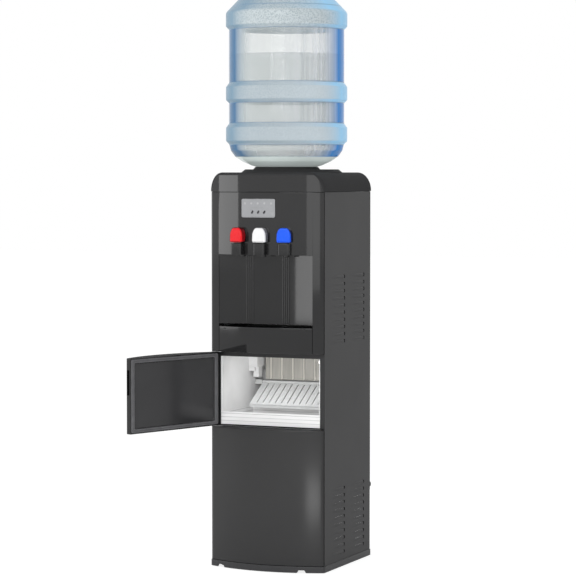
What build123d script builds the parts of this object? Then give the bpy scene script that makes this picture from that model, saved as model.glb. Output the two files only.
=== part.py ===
from build123d import *
import os
from math import asin, cos, radians, sin, sqrt

os.makedirs("parts", exist_ok=True)

# Floor-standing water dispenser with a bottle on top and an ice maker behind a door.
# X to the right, the front faces -Y, Z up, origin on the floor under the middle of the cabinet.

# Driving sizes of the cabinet
cabinet_width = 300.0
cabinet_depth = 300.0
front_bulge = 34.0
base_top = 17.0
lower_panel_top = 345.5
ice_opening_bottom = 349.5
ice_opening_top = 517.0
fascia_bottom = 530.0
bay_bottom = 599.0
bay_top = 767.0
fascia_top = 919.0
cover_bottom = 920.0
cover_top = 966.5
bottle_y = -32.0
door_opening_angle = 110.0

# Materials and fits
sheet = 1.2
wall = 2.5
fit_gap = 0.3
seam = 1.0
overrun = 5.0
pin_clearance = 0.05

half_width = cabinet_width / 2
half_depth = cabinet_depth / 2
inside_half = half_width - sheet


def save(piece, name):
    # name the finished piece and write it as its own file
    piece.part.label = name
    export_step(piece.part, f"parts/{name}.step")


# The bowed front: one arc through both front corners and the middle
front_radius = (half_width**2 + front_bulge**2) / (2 * front_bulge)
front_centre_y = -half_depth - front_bulge + front_radius


def front_y(x, inset=0.0):
    # where the bowed front lies at x, moved inwards by inset
    return front_centre_y - sqrt((front_radius - inset) ** 2 - x**2)


def front_plan(half, back, inset=0.0, corner=0.0):
    # plan of a moulding with a bowed front, straight sides and a straight back
    side_y = front_y(half, inset)
    with BuildSketch() as plan:
        with BuildLine():
            Polyline((-half, side_y), (-half, back), (half, back), (half, side_y))
            ThreePointArc((half, side_y), (0, front_y(0, inset)), (-half, side_y))
        make_face()
        if corner > 0:
            fillet(plan.vertices().group_by(Axis.Y)[0], corner)
    return plan.sketch


def radial_planes(x):
    # planes of a piece on the bowed front at x: facing out, and across it along its pivot
    angle = asin(x / front_radius)
    across = (cos(angle), sin(angle), 0)
    outward = (sin(angle), -cos(angle), 0)
    foot = (front_radius * sin(angle), front_centre_y - front_radius * cos(angle), 0)
    facing = Plane(origin=foot, x_dir=across, z_dir=outward)
    pivot = Plane(origin=foot, x_dir=outward, z_dir=across)
    level = Plane(origin=foot, x_dir=across, z_dir=(0, 0, 1))
    return facing, pivot, level


# Base: moulded plinth on four rubber feet
base_overhang = 1.5
base_wall = 4.0
base_deck = 4.0
skirt_clearance = 1.5
corner_radius = 9.0
notch_places = (-117.5, 98.5)
notch_width = 23.0
notch_top_width = 15.0
notch_height = 8.0
foot_radius = 15.0
foot_height = 4.0
foot_boss_wall = 2.5
foot_inset = 30.0
foot_spacing = cabinet_width - 2 * foot_inset
rib_thickness = 3.0

with BuildPart() as base_tray:
    with BuildSketch(Plane.XY.offset(skirt_clearance)):
        add(front_plan(half_width + base_overhang, half_depth, -base_overhang, corner_radius))
    extrude(amount=base_top - skirt_clearance)
    with BuildSketch(Plane.XY.offset(skirt_clearance)):
        add(front_plan(half_width - base_wall, half_depth - base_wall, base_wall, corner_radius))
    extrude(amount=base_top - base_deck - skirt_clearance, mode=Mode.SUBTRACT)
    with BuildSketch(Plane.XY.offset(foot_height)):
        with GridLocations(foot_spacing, foot_spacing, 2, 2):
            Circle(foot_radius + foot_boss_wall)
        with GridLocations(foot_spacing, 0, 2, 1):
            Rectangle(rib_thickness, cabinet_depth - 2 * base_wall)
    extrude(amount=base_top - base_deck - foot_height)
    # The middle cross rib reaches the floor, level with the feet
    with BuildSketch():
        Rectangle(rib_thickness, cabinet_depth - 2 * base_wall)
        Rectangle(cabinet_width - 2 * base_wall, rib_thickness)
    extrude(amount=base_top - base_deck)
    with BuildSketch(Plane.XZ.offset(half_depth - base_wall)):
        for x in notch_places:
            with BuildLine():
                Polyline(
                    (x - notch_width / 2, 0),
                    (x + notch_width / 2, 0),
                    (x + notch_top_width / 2, notch_height),
                    (x - notch_top_width / 2, notch_height),
                    close=True,
                )
            make_face()
    extrude(amount=front_bulge + base_overhang + base_wall + overrun, mode=Mode.SUBTRACT)
save(base_tray, "base_tray")

with BuildPart() as rubber_feet:
    with BuildSketch():
        with GridLocations(foot_spacing, foot_spacing, 2, 2):
            Circle(foot_radius)
    extrude(amount=foot_height)
    chamfer(edges().group_by(Axis.Z)[0], foot_height / 4)
save(rubber_feet, "rubber_feet")

# Side panels: folded sheet with raised louvres that open towards the back
side_front = -half_depth + 3.0 * seam
flange_front = -131.3
flange_width = 14.0
side_back = half_depth - sheet - fit_gap / 3
side_bottom = base_top
side_top = fascia_top
louvre_length = 78.0
louvre_height = 8.0
louvre_rise = 2.6
louvre_wall = 1.0
louvre_pitch = 17.5
louvre_rows = 10
louvre_starts = (-106.0, 21.0)
louvre_blocks = (36.4, 555.0)


def louvre_plan(side, start):
    # one louvre: a wedge that leaves the sheet and ends square at its rear
    face = side * (half_width - sheet / 2)
    tip = side * (half_width + louvre_rise)
    end = start + louvre_length
    with BuildSketch() as plan:
        with BuildLine():
            Polyline((face, start), (tip, end), (face, end), close=True)
        make_face()
    return plan.sketch


def louvre_hollow_plan(side, start):
    # the hollow behind one louvre, through the sheet and out of its rear end
    inner = side * (inside_half - overrun)
    face = side * (half_width - louvre_wall)
    tip = side * (half_width + louvre_rise - louvre_wall)
    lead = start + louvre_length / 4
    end = start + louvre_length
    with BuildSketch() as plan:
        with BuildLine():
            Polyline((inner, lead), (face, lead), (tip, end), (tip, end + overrun), (face, end + overrun),
                     (face, end), (inner, end), close=True)
        make_face()
    return plan.sketch


def side_panel(side):
    outer = side * half_width
    with BuildPart() as panel:
        with BuildSketch(Plane.XY.offset(side_bottom)):
            with BuildLine():
                inner = side * inside_half
                lip = side * (inside_half - flange_width)
                Polyline(
                    (outer, side_front), (outer, side_back), (lip, side_back), (lip, side_back - sheet),
                    (inner, side_back - sheet), (inner, flange_front + sheet), (lip, flange_front + sheet),
                    (lip, flange_front), (inner, flange_front), (inner, side_front), close=True,
                )
            make_face()
        extrude(amount=side_top - side_bottom)
        for block in louvre_blocks:
            for row in range(louvre_rows):
                low = block + row * louvre_pitch - louvre_height / 2
                with BuildSketch(Plane.XY.offset(low)):
                    for start in louvre_starts:
                        add(louvre_plan(side, start))
                extrude(amount=louvre_height)
                with BuildSketch(Plane.XY.offset(low + louvre_wall)):
                    for start in louvre_starts:
                        add(louvre_hollow_plan(side, start))
                extrude(amount=louvre_height - 2 * louvre_wall, mode=Mode.SUBTRACT)
    return panel


save(side_panel(1), "right_side_panel")
save(side_panel(-1), "left_side_panel")

# Front mouldings: thin shells behind the bowed front, open at the back
moulding_half = inside_half - fit_gap
moulding_back = flange_front - fit_gap
lower_panel_bottom = base_top + seam


def hollow_plan():
    # the space inside a front moulding, run out through its open back
    return front_plan(moulding_half - wall, moulding_back + overrun, wall, corner_radius - wall)


with BuildPart() as lower_front_panel:
    with BuildSketch(Plane.XY.offset(lower_panel_bottom)):
        add(front_plan(moulding_half, moulding_back, corner=corner_radius))
    extrude(amount=lower_panel_top - lower_panel_bottom)
    with BuildSketch(Plane.XY.offset(lower_panel_bottom + wall)):
        add(hollow_plan())
    extrude(amount=lower_panel_top - lower_panel_bottom - 2 * wall, mode=Mode.SUBTRACT)
save(lower_front_panel, "lower_front_panel")

# Ice door, drawn closed on a plane that is turned open about its hinge pins
door_side_gap = 3.0
door_half = half_width - door_side_gap
door_inner_y = -137.0
door_bottom = 347.8
door_top = 527.8
hinge_x = -143.0
hinge_y = -148.5
hinge_pin_radius = 2.0
hinge_pin_length = 10.0
hinge_block = 10.0
gasket_side_width = 11.0
gasket_top_width = 9.0
gasket_thickness = 2.4
liner_panel_recess = 5.0
grip_bottom = 440.0
grip_top = 500.0
grip_width = 10.0
grip_depth = 10.0

open_turn = radians(-door_opening_angle)
door_plane = Plane(
    origin=(
        hinge_x - hinge_x * cos(open_turn) + hinge_y * sin(open_turn),
        hinge_y - hinge_x * sin(open_turn) - hinge_y * cos(open_turn),
        0,
    ),
    x_dir=(cos(open_turn), sin(open_turn), 0),
    z_dir=(0, 0, 1),
)
door_panel_back = door_inner_y - liner_panel_recess - wall
grip_back = door_inner_y - liner_panel_recess / 2
grip_x = door_half - grip_depth

with BuildPart() as door_skin:
    with BuildSketch(door_plane.offset(door_bottom)):
        add(front_plan(door_half, door_inner_y, corner=corner_radius))
    extrude(amount=door_top - door_bottom)
    with BuildSketch(door_plane.offset(door_bottom + wall)):
        add(front_plan(door_half - wall, door_inner_y + overrun, wall, corner_radius - wall))
    extrude(amount=door_top - door_bottom - 2 * wall, mode=Mode.SUBTRACT)
    # bearing blocks round the pins, at the top and the bottom
    for low in (door_bottom, door_top - hinge_pin_length - wall):
        with BuildSketch(door_plane.offset(low)):
            add(front_plan(door_half, door_panel_back, corner=corner_radius))
            with Locations((-door_half + hinge_block, door_panel_back)):
                Rectangle(cabinet_width, cabinet_depth, align=(Align.MIN, Align.CENTER), mode=Mode.SUBTRACT)
        extrude(amount=hinge_pin_length + wall)
    for low in (door_bottom, door_top - hinge_pin_length):
        with BuildSketch(door_plane.offset(low)):
            with Locations((hinge_x, hinge_y)):
                Circle(hinge_pin_radius + pin_clearance)
        extrude(amount=hinge_pin_length, mode=Mode.SUBTRACT)
    # finger grip let into the free edge, in a block of its own
    with BuildSketch(door_plane.offset(grip_bottom - wall)):
        add(front_plan(door_half, grip_back + wall, corner=corner_radius))
        with Locations((grip_x - wall, door_inner_y)):
            Rectangle(cabinet_width, cabinet_depth, align=(Align.MAX, Align.CENTER), mode=Mode.SUBTRACT)
    extrude(amount=grip_top - grip_bottom + 2 * wall)
    with BuildSketch(door_plane.offset(grip_bottom)):
        with Locations((grip_x, grip_back)):
            Rectangle(grip_depth + overrun, grip_width, align=(Align.MIN, Align.MAX))
    extrude(amount=grip_top - grip_bottom, mode=Mode.SUBTRACT)
save(door_skin, "door_skin")

door_panel_half = door_half - wall - fit_gap
panel_bottom = door_bottom + wall + fit_gap
panel_top = door_top - wall - fit_gap
rim_half = door_panel_half - gasket_side_width
rim_low = panel_bottom + gasket_top_width
rim_high = panel_top - gasket_top_width

with BuildPart() as door_inner_panel:
    # dished panel: a flat rim for the gasket round a recessed middle
    with BuildSketch(door_plane.offset(panel_bottom)):
        with Locations((0, door_inner_y)):
            Rectangle(2 * door_panel_half, wall, align=(Align.CENTER, Align.MAX))
    extrude(amount=panel_top - panel_bottom)
    with BuildSketch(door_plane.offset(rim_low)):
        with Locations((0, door_inner_y - wall)):
            Rectangle(2 * rim_half, liner_panel_recess, align=(Align.CENTER, Align.MAX))
    extrude(amount=rim_high - rim_low)
    with BuildSketch(door_plane.offset(rim_low + wall)):
        with Locations((0, door_inner_y + overrun)):
            Rectangle(2 * (rim_half - wall), liner_panel_recess + overrun, align=(Align.CENTER, Align.MAX))
    extrude(amount=rim_high - rim_low - 2 * wall, mode=Mode.SUBTRACT)
    # cleared round the bearing blocks and the finger grip
    for low in (door_bottom, door_top - hinge_pin_length - wall):
        with BuildSketch(door_plane.offset(low - fit_gap)):
            with Locations((-door_half, door_panel_back + fit_gap)):
                Rectangle(hinge_block + fit_gap, door_half, align=(Align.MIN, Align.MAX))
        extrude(amount=hinge_pin_length + wall + 2 * fit_gap, mode=Mode.SUBTRACT)
    with BuildSketch(door_plane.offset(grip_bottom - wall - fit_gap)):
        with Locations((grip_x - wall - fit_gap, grip_back + wall + fit_gap)):
            Rectangle(door_half, door_half, align=(Align.MIN, Align.MAX))
    extrude(amount=grip_top - grip_bottom + 2 * (wall + fit_gap), mode=Mode.SUBTRACT)
save(door_inner_panel, "door_inner_panel")

with BuildPart() as door_gasket:
    with BuildSketch(door_plane.offset(panel_bottom)):
        with Locations((0, door_inner_y)):
            Rectangle(2 * door_panel_half, gasket_thickness, align=(Align.CENTER, Align.MIN))
    extrude(amount=panel_top - panel_bottom)
    with BuildSketch(door_plane.offset(rim_low)):
        with Locations((0, door_inner_y)):
            Rectangle(2 * rim_half, door_half, align=Align.CENTER)
    extrude(amount=rim_high - rim_low, mode=Mode.SUBTRACT)
save(door_gasket, "door_gasket")

# Hinge plates above and below the door, each with its pin
hinge_plate = 1.5
hinge_plate_length = 26.0
hinge_plate_front = 4.0
plate_inner_x = -moulding_half
frame_front = moulding_back - wall
lower_plate_z = lower_panel_top + fit_gap / 2
upper_plate_z = fascia_bottom - fit_gap - hinge_plate
hinge_plate_depth = frame_front - fit_gap - hinge_y + hinge_plate_front

with BuildPart() as hinge_brackets:
    for low in (lower_plate_z, upper_plate_z):
        with BuildSketch(Plane.XY.offset(low)):
            with Locations((plate_inner_x, hinge_y - hinge_plate_front)):
                Rectangle(hinge_plate_length, hinge_plate_depth, align=Align.MIN)
            fillet(vertices().group_by(Axis.Y)[0], hinge_plate_front)
        extrude(amount=hinge_plate)
    with BuildSketch(Plane.XY.offset(lower_plate_z)):
        with Locations((hinge_x, hinge_y)):
            Circle(hinge_pin_radius)
    extrude(amount=door_bottom - lower_plate_z + hinge_pin_length - fit_gap)
    with BuildSketch(Plane.XY.offset(door_top - hinge_pin_length + fit_gap)):
        with Locations((hinge_x, hinge_y)):
            Circle(hinge_pin_radius)
    extrude(amount=upper_plate_z - door_top + hinge_pin_length)
save(hinge_brackets, "hinge_brackets")

# Dark frame round the ice opening
frame_bottom = lower_panel_top + seam
frame_top = fascia_bottom - seam
frame_opening_half = 132.0
ice_opening_height = ice_opening_top - ice_opening_bottom
ice_opening_middle = (ice_opening_top + ice_opening_bottom) / 2

with BuildPart() as ice_frame:
    with BuildSketch(Plane.XZ.offset(-moulding_back)):
        with Locations((0, (frame_top + frame_bottom) / 2)):
            Rectangle(2 * moulding_half, frame_top - frame_bottom)
        with Locations((0, ice_opening_middle)):
            Rectangle(2 * frame_opening_half, ice_opening_height, mode=Mode.SUBTRACT)
    extrude(amount=moulding_back - frame_front)
save(ice_frame, "ice_frame")

# Ice compartment liner: a low front part and a taller back part for the ice maker
liner_half = 129.0
liner_wall = 1.5
liner_front = flange_front - fit_gap / 3
liner_back = 112.5
liner_step_y = 10.0
liner_ceiling = 556.0
liner_flange = 3.0


def liner_space(grow, front):
    # the compartment as two boxes, grown by the wall for its outside
    low = ice_opening_bottom - grow
    with BuildPart() as space:
        with BuildSketch(Plane.XY.offset(low)):
            with Locations((0, front)):
                Rectangle(2 * (liner_half + grow), liner_back + grow - front, align=(Align.CENTER, Align.MIN))
        extrude(amount=ice_opening_height + 2 * grow)
        with BuildSketch(Plane.XY.offset(low)):
            with Locations((0, liner_back + grow)):
                depth = liner_back - liner_step_y + 2 * grow
                Rectangle(2 * (liner_half + grow), depth, align=(Align.CENTER, Align.MAX))
        extrude(amount=liner_ceiling + grow - low)
    return space.part


with BuildPart() as ice_liner:
    add(liner_space(liner_wall, liner_front))
    with BuildSketch(Plane.XZ.offset(-liner_front - liner_wall)):
        with Locations((0, ice_opening_middle)):
            Rectangle(2 * (liner_half + liner_wall + liner_flange), ice_opening_height + 4 * liner_flange)
    extrude(amount=liner_wall)
    add(liner_space(0, liner_front - overrun), mode=Mode.SUBTRACT)
save(ice_liner, "ice_liner")

insulation_bottom = 330.0
insulation_front = liner_front + liner_wall
insulation_back = 127.0
insulation_side_gap = 0.4
insulation_top = 527.5
insulation_high_top = 569.0
insulation_step_y = -4.0
insulation_half = inside_half - insulation_side_gap

with BuildPart() as ice_insulation:
    with BuildSketch(Plane.XY.offset(insulation_bottom)):
        with Locations((0, insulation_front)):
            Rectangle(2 * insulation_half, insulation_back - insulation_front, align=(Align.CENTER, Align.MIN))
    extrude(amount=insulation_top - insulation_bottom)
    with BuildSketch(Plane.XY.offset(insulation_bottom)):
        with Locations((0, insulation_step_y)):
            Rectangle(2 * insulation_half, insulation_back - insulation_step_y, align=(Align.CENTER, Align.MIN))
    extrude(amount=insulation_high_top - insulation_bottom)
    add(liner_space(liner_wall, liner_front - overrun), mode=Mode.SUBTRACT)
save(ice_insulation, "ice_insulation")

# Ice bin: a shallow white box with a stepped front that forms the sill
bin_half = liner_half - 0.5 * seam
bin_back = 48.0
bin_bottom = ice_opening_bottom + fit_gap
bin_top = 380.5
bin_wall = 2.0
sill_half = frame_opening_half - fit_gap
sill_front = frame_front + fit_gap
sill_steps = 3
sill_step_depth = 0.7
sill_lip = 4.0
bin_front = liner_front + liner_wall
sill_height = bin_top - bin_bottom

with BuildPart() as ice_bin:
    with BuildSketch(Plane.XY.offset(bin_bottom)):
        with Locations((0, sill_front + sill_steps * sill_step_depth)):
            depth = bin_back - sill_front - sill_steps * sill_step_depth
            Rectangle(2 * bin_half, depth, align=(Align.CENTER, Align.MIN))
    extrude(amount=sill_height)
    for step in range(sill_steps):
        with BuildSketch(Plane.XY.offset(bin_bottom)):
            with Locations((0, sill_front + step * sill_step_depth)):
                depth = moulding_back - sill_front - step * sill_step_depth
                Rectangle(2 * sill_half, depth, align=(Align.CENTER, Align.MIN))
        extrude(amount=(sill_height - sill_lip) * (step + 1) / sill_steps)
    with BuildSketch(Plane.XY.offset(bin_top - sill_lip)):
        with Locations((0, sill_front)):
            Rectangle(2 * sill_half, moulding_back - sill_front, align=(Align.CENTER, Align.MIN))
    extrude(amount=sill_lip)
    with BuildSketch(Plane.XY.offset(bin_bottom + bin_wall)):
        with Locations((0, bin_front)):
            depth = bin_back - bin_wall - bin_front
            Rectangle(2 * (bin_half - bin_wall), depth, align=(Align.CENTER, Align.MIN))
    extrude(amount=sill_height, mode=Mode.SUBTRACT)
save(ice_bin, "ice_bin")

# Ice maker: a tipping water box over a slatted ice plate, both turned by one gear motor
box_left = -98.0
box_right = 112.0
box_front = 60.0
box_depth = 44.0
box_bottom = 446.0
box_top = 505.0
box_wall = 2.0
box_pivot_z = 485.0
box_pivot_y = box_front + box_depth / 2
box_pin_radius = 3.0
box_pin_length = 4.0
box_rib_pitch = 30.0
box_rib_size = 1.6
box_flange = 4.0
box_middle = (box_left + box_right) / 2
box_length = box_right - box_left

with BuildPart() as water_box:
    with BuildSketch(Plane.XY.offset(box_bottom)):
        with Locations((box_middle, box_pivot_y)):
            Rectangle(box_length, box_depth)
    extrude(amount=box_top - box_bottom)
    fillet(edges().filter_by(Axis.X).group_by(Axis.Z)[0], box_flange)
    with BuildSketch(Plane.XY.offset(box_bottom)):
        with Locations((box_middle, box_front + box_flange)):
            Rectangle(box_length, 2 * box_flange, align=(Align.CENTER, Align.MAX))
    extrude(amount=box_wall)
    rib_count = int(box_length / box_rib_pitch)
    for low, width in ((box_bottom + box_flange, box_rib_size), (box_top - box_flange, box_length)):
        with BuildSketch(Plane.XY.offset(low)):
            if width < box_length:
                with Locations((box_middle, box_front)):
                    with GridLocations(box_rib_pitch, 0, rib_count, 1):
                        Rectangle(width, 2 * box_rib_size)
            else:
                with Locations((box_middle, box_pivot_y)):
                    Rectangle(width, box_depth + 2 * box_rib_size)
        extrude(amount=box_top - low)
    with BuildSketch(Plane.XY.offset(box_bottom + box_wall)):
        with Locations((box_middle, box_pivot_y)):
            Rectangle(box_length - 2 * box_wall, box_depth - 2 * box_wall)
    extrude(amount=box_top, mode=Mode.SUBTRACT)
    for end, turn in ((box_left, -1), (box_right, 1)):
        with BuildSketch(Plane(origin=(end, box_pivot_y, box_pivot_z), z_dir=(turn, 0, 0))):
            Circle(box_pin_radius)
        extrude(amount=box_pin_length)
save(water_box, "water_box")

motor_gap = 2.0
motor_front = 22.0
motor_back = 98.0
motor_bottom = 462.0
motor_right = box_left - motor_gap
motor_left = -liner_half + fit_gap
duct_front = 34.0
duct_back = 58.0
duct_right = -112.0

with BuildPart() as gear_motor:
    with BuildSketch(Plane.XY.offset(motor_bottom)):
        with Locations((motor_left, motor_front)):
            Rectangle(motor_right - motor_left, motor_back - motor_front, align=Align.MIN)
        fillet(vertices(), motor_gap)
    extrude(amount=box_top - motor_bottom)
    with BuildSketch(Plane.XY.offset(bin_top)):
        with Locations((motor_left, duct_front)):
            Rectangle(duct_right - motor_left, duct_back - duct_front, align=Align.MIN)
    extrude(amount=motor_bottom - bin_top)
    with BuildSketch(Plane(origin=(motor_right, box_pivot_y, box_pivot_z), z_dir=(-1, 0, 0))):
        Circle(box_pin_radius + pin_clearance)
    extrude(amount=box_pin_length, mode=Mode.SUBTRACT)
save(gear_motor, "gear_motor")

plate_half = 108.0
plate_length = 101.0
plate_slope = 30.0
plate_pivot_y = 70.0
plate_pivot_z = 438.0
plate_thickness = 3.0
plate_lip_height = 9.0
plate_lip = 3.0
plate_barrel_radius = 4.0
plate_pin_radius = 2.5
plate_pin_length = 5.0
slat_pitch = 16.5
slat_gap = 3.5
slat_margin = 9.0
slat_count = int((2 * plate_half - slat_margin) / slat_pitch)
slope = radians(plate_slope)
plate_plane = Plane(
    origin=(0, plate_pivot_y, plate_pivot_z), x_dir=(1, 0, 0), z_dir=(0, -sin(slope), cos(slope))
)

with BuildPart() as ice_plate:
    with BuildSketch(plate_plane.offset(-plate_thickness / 2)):
        Rectangle(2 * plate_half, plate_length, align=(Align.CENTER, Align.MAX))
        with Locations((0, -plate_length / 2)):
            with GridLocations(slat_pitch, 0, slat_count, 1):
                Rectangle(slat_gap, plate_length - 2 * slat_margin, mode=Mode.SUBTRACT)
    extrude(amount=plate_thickness)
    with BuildSketch(plate_plane.offset(-plate_lip_height + plate_thickness / 2)):
        with Locations((0, -plate_length)):
            Rectangle(2 * plate_half, plate_lip, align=(Align.CENTER, Align.MIN))
    extrude(amount=plate_lip_height)
    with BuildSketch(Plane.YZ.offset(-plate_half)):
        with Locations((plate_pivot_y, plate_pivot_z)):
            Circle(plate_barrel_radius)
    extrude(amount=2 * plate_half)
    with BuildSketch(Plane.YZ.offset(-plate_half - plate_pin_length)):
        with Locations((plate_pivot_y, plate_pivot_z)):
            Circle(plate_pin_radius)
    extrude(amount=2 * (plate_half + plate_pin_length))
save(ice_plate, "ice_plate")

bearing_half = 8.0
bearing_start = box_right + motor_gap
plate_bearing_half = 6.0
plate_bearing_start = plate_half + motor_gap
with BuildPart() as ice_maker_bearings:
    with BuildSketch(Plane.YZ.offset(bearing_start)):
        with Locations((box_pivot_y, box_pivot_z)):
            Rectangle(2 * bearing_half, 2 * bearing_half)
            Circle(box_pin_radius + pin_clearance, mode=Mode.SUBTRACT)
    extrude(amount=liner_half - fit_gap - bearing_start)
    for side in (-1, 1):
        across = Plane(origin=(side * plate_bearing_start, 0, 0), x_dir=(0, side, 0), z_dir=(side, 0, 0))
        with BuildSketch(across):
            with Locations((side * plate_pivot_y, plate_pivot_z)):
                Rectangle(2 * plate_bearing_half, 2 * plate_bearing_half)
                Circle(plate_pin_radius + pin_clearance, mode=Mode.SUBTRACT)
        extrude(amount=liner_half - fit_gap - plate_bearing_start)
save(ice_maker_bearings, "ice_maker_bearings")

finger_radius = 3.5
finger_pitch = 22.0
finger_count = 9
finger_tip = 467.0
header_bottom = 516.0
header_height = 9.0
header_width = 14.0
header_post = 10.0
with BuildPart() as ice_evaporator:
    with BuildSketch(Plane.XY.offset(finger_tip)):
        with Locations((box_middle, box_pivot_y)):
            with GridLocations(finger_pitch, 0, finger_count, 1):
                Circle(finger_radius)
    extrude(amount=header_bottom - finger_tip + header_height / 2)
    header_length = finger_pitch * finger_count
    with BuildSketch(Plane.XY.offset(header_bottom)):
        with Locations((box_middle, box_pivot_y)):
            Rectangle(header_length, header_width)
    extrude(amount=header_height)
    with BuildSketch(Plane.XY.offset(header_bottom)):
        with Locations((box_middle, box_pivot_y)):
            with GridLocations(header_length - header_post, 0, 2, 1):
                Rectangle(header_post, header_post)
    extrude(amount=liner_ceiling - fit_gap - header_bottom)
save(ice_evaporator, "ice_evaporator")

reservoir_half = 120.0
reservoir_front = 62.0
reservoir_back = 110.0
reservoir_top = 400.0
with BuildPart() as ice_reservoir:
    with BuildSketch(Plane.XY.offset(bin_bottom)):
        with Locations((0, reservoir_front)):
            Rectangle(2 * reservoir_half, reservoir_back - reservoir_front, align=(Align.CENTER, Align.MIN))
    extrude(amount=reservoir_top - bin_bottom)
    with BuildSketch(Plane.XY.offset(bin_bottom + bin_wall)):
        with Locations((0, reservoir_front + bin_wall)):
            depth = reservoir_back - reservoir_front - 2 * bin_wall
            Rectangle(2 * (reservoir_half - bin_wall), depth, align=(Align.CENTER, Align.MIN))
    extrude(amount=reservoir_top, mode=Mode.SUBTRACT)
save(ice_reservoir, "ice_reservoir")

pump_x = 90.0
pump_radius = 17.0
pump_height = 34.0
pump_outlet_radius = 5.0
pump_outlet = 10.0
pump_y = (reservoir_front + reservoir_back) / 2
pump_floor = bin_bottom + bin_wall + fit_gap
with BuildPart() as ice_water_pump:
    with BuildSketch(Plane.XY.offset(pump_floor)):
        with Locations((pump_x, pump_y)):
            Circle(pump_radius)
    extrude(amount=pump_height)
    chamfer(edges().group_by(Axis.Z)[-1], box_wall)
    with BuildSketch(Plane.XY.offset(pump_floor + pump_height)):
        with Locations((pump_x, pump_y)):
            Circle(pump_outlet_radius)
    extrude(amount=pump_outlet)
save(ice_water_pump, "ice_water_pump")

lamp_radius = 5.0
lamp_depth = 3.0
lamp_y = -122.0
lamp_z = 509.0
with BuildPart() as ice_lamp:
    with BuildSketch(Plane.YZ.offset(liner_half - fit_gap - lamp_depth)):
        with Locations((lamp_y, lamp_z)):
            Circle(lamp_radius)
    extrude(amount=lamp_depth)
    fillet(edges().group_by(Axis.X)[0], lamp_depth / 2)
save(ice_lamp, "ice_lamp")

# Upper fascia: control panel, two rails beside the bay, open between them down to the drip tray
bay_half = 124.0
tap_places = (-60.0, 0.0, 60.0)
nozzle_setback = 13.0
nozzle_radius = 6.0
nozzle_clearance = 0.5
neck_half = 8.0
neck_bottom = 775.0
neck_top = 789.0
display_x = -9.0
window_half = 36.0
window_bottom = 863.0
window_top = 898.0

with BuildPart() as upper_fascia:
    with BuildSketch(Plane.XY.offset(fascia_bottom)):
        add(front_plan(moulding_half, moulding_back, corner=corner_radius))
    extrude(amount=fascia_top - fascia_bottom)
    with BuildSketch(Plane.XY.offset(fascia_bottom + wall)):
        add(hollow_plan())
        Rectangle(2 * (bay_half + wall), 2 * cabinet_depth, mode=Mode.SUBTRACT)
    extrude(amount=bay_top - fascia_bottom, mode=Mode.SUBTRACT)
    with BuildSketch(Plane.XY.offset(bay_top + wall)):
        add(hollow_plan())
    extrude(amount=fascia_top - bay_top - 2 * wall, mode=Mode.SUBTRACT)
    with BuildSketch(Plane.XY.offset(fascia_bottom - overrun)):
        Rectangle(2 * bay_half, 2 * cabinet_depth)
    extrude(amount=bay_top - fascia_bottom + overrun, mode=Mode.SUBTRACT)
    for x in tap_places:
        facing, pivot, level = radial_planes(x)
        with BuildSketch(facing.offset(-2 * wall)):
            with Locations((0, (neck_bottom + neck_top) / 2)):
                Rectangle(2 * (neck_half + fit_gap), neck_top - neck_bottom + 2 * fit_gap)
        extrude(amount=2 * wall + overrun, mode=Mode.SUBTRACT)
        with BuildSketch(level.offset(bay_top - overrun)):
            with Locations((0, nozzle_setback)):
                Circle(nozzle_radius + nozzle_clearance)
        extrude(amount=wall + 2 * overrun, mode=Mode.SUBTRACT)
    with BuildSketch(radial_planes(display_x)[0].offset(-3 * wall)):
        with Locations((0, (window_bottom + window_top) / 2)):
            Rectangle(2 * (window_half + fit_gap), window_top - window_bottom + 2 * fit_gap)
    extrude(amount=3 * wall + overrun, mode=Mode.SUBTRACT)
save(upper_fascia, "upper_fascia")

# Display bezel: a curved plate with a boss through the fascia, three push buttons and five lights
display_half = 44.5
display_bottom = 858.0
display_top = 903.0
display_corner = 4.0
display_rise = 2.0
display_frame = 2.5
display_recess = 0.6
display_boss = 7.0
button_pitch = 15.9
button_shift = 1.0
button_z = 871.0
button_length = 8.0
button_width = 4.0
button_slant = 60.0
button_proud = 0.7
button_flange_radius = 5.5
button_flange = 2.0
light_pitch = 17.4
light_z = 892.0
light_radius = 2.6
light_rise = 0.35
board_setback = 11.0
board_thickness = 1.6
board_margin = 3.0
standoff_radius = 2.0
display_height = display_top - display_bottom
display_middle = (display_top + display_bottom) / 2
window_middle = (window_top + window_bottom) / 2
display_facing = radial_planes(display_x)[0]
button_places = [(button_shift + step * button_pitch, button_z) for step in (-1, 0, 1)]


def curved_plate(half, height, corner, inner, outer):
    # a rounded rectangle on the display, bent to the front between two heights above it
    with BuildPart() as plate:
        with BuildSketch(display_facing.offset(-display_boss)):
            with Locations((0, display_middle)):
                RectangleRounded(2 * half, height, corner)
        extrude(amount=2 * display_boss)
        with BuildSketch(Plane.XY.offset(display_bottom - overrun)):
            with Locations((0, front_centre_y)):
                Circle(front_radius + outer)
                Circle(front_radius + inner, mode=Mode.SUBTRACT)
        extrude(amount=display_height + 2 * overrun, mode=Mode.INTERSECT)
    return plate.part


with BuildPart() as display_bezel:
    add(curved_plate(display_half, display_height, display_corner, fit_gap / 3, display_rise))
    add(
        curved_plate(
            display_half - display_frame, display_height - 2 * display_frame, display_corner - display_frame,
            display_rise - display_recess, display_rise + display_recess,
        ),
        mode=Mode.SUBTRACT,
    )
    add(
        curved_plate(
            window_half - fit_gap / 3, window_top - window_bottom - 2 * fit_gap / 3, fit_gap,
            -2 * display_boss, display_recess,
        )
    )
    with BuildSketch(display_facing.offset(-2 * display_boss)):
        with Locations(*button_places):
            SlotOverall(button_length + 2 * fit_gap, button_width + 2 * fit_gap, rotation=button_slant)
    extrude(amount=3 * display_boss, mode=Mode.SUBTRACT)
save(display_bezel, "display_bezel")

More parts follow.
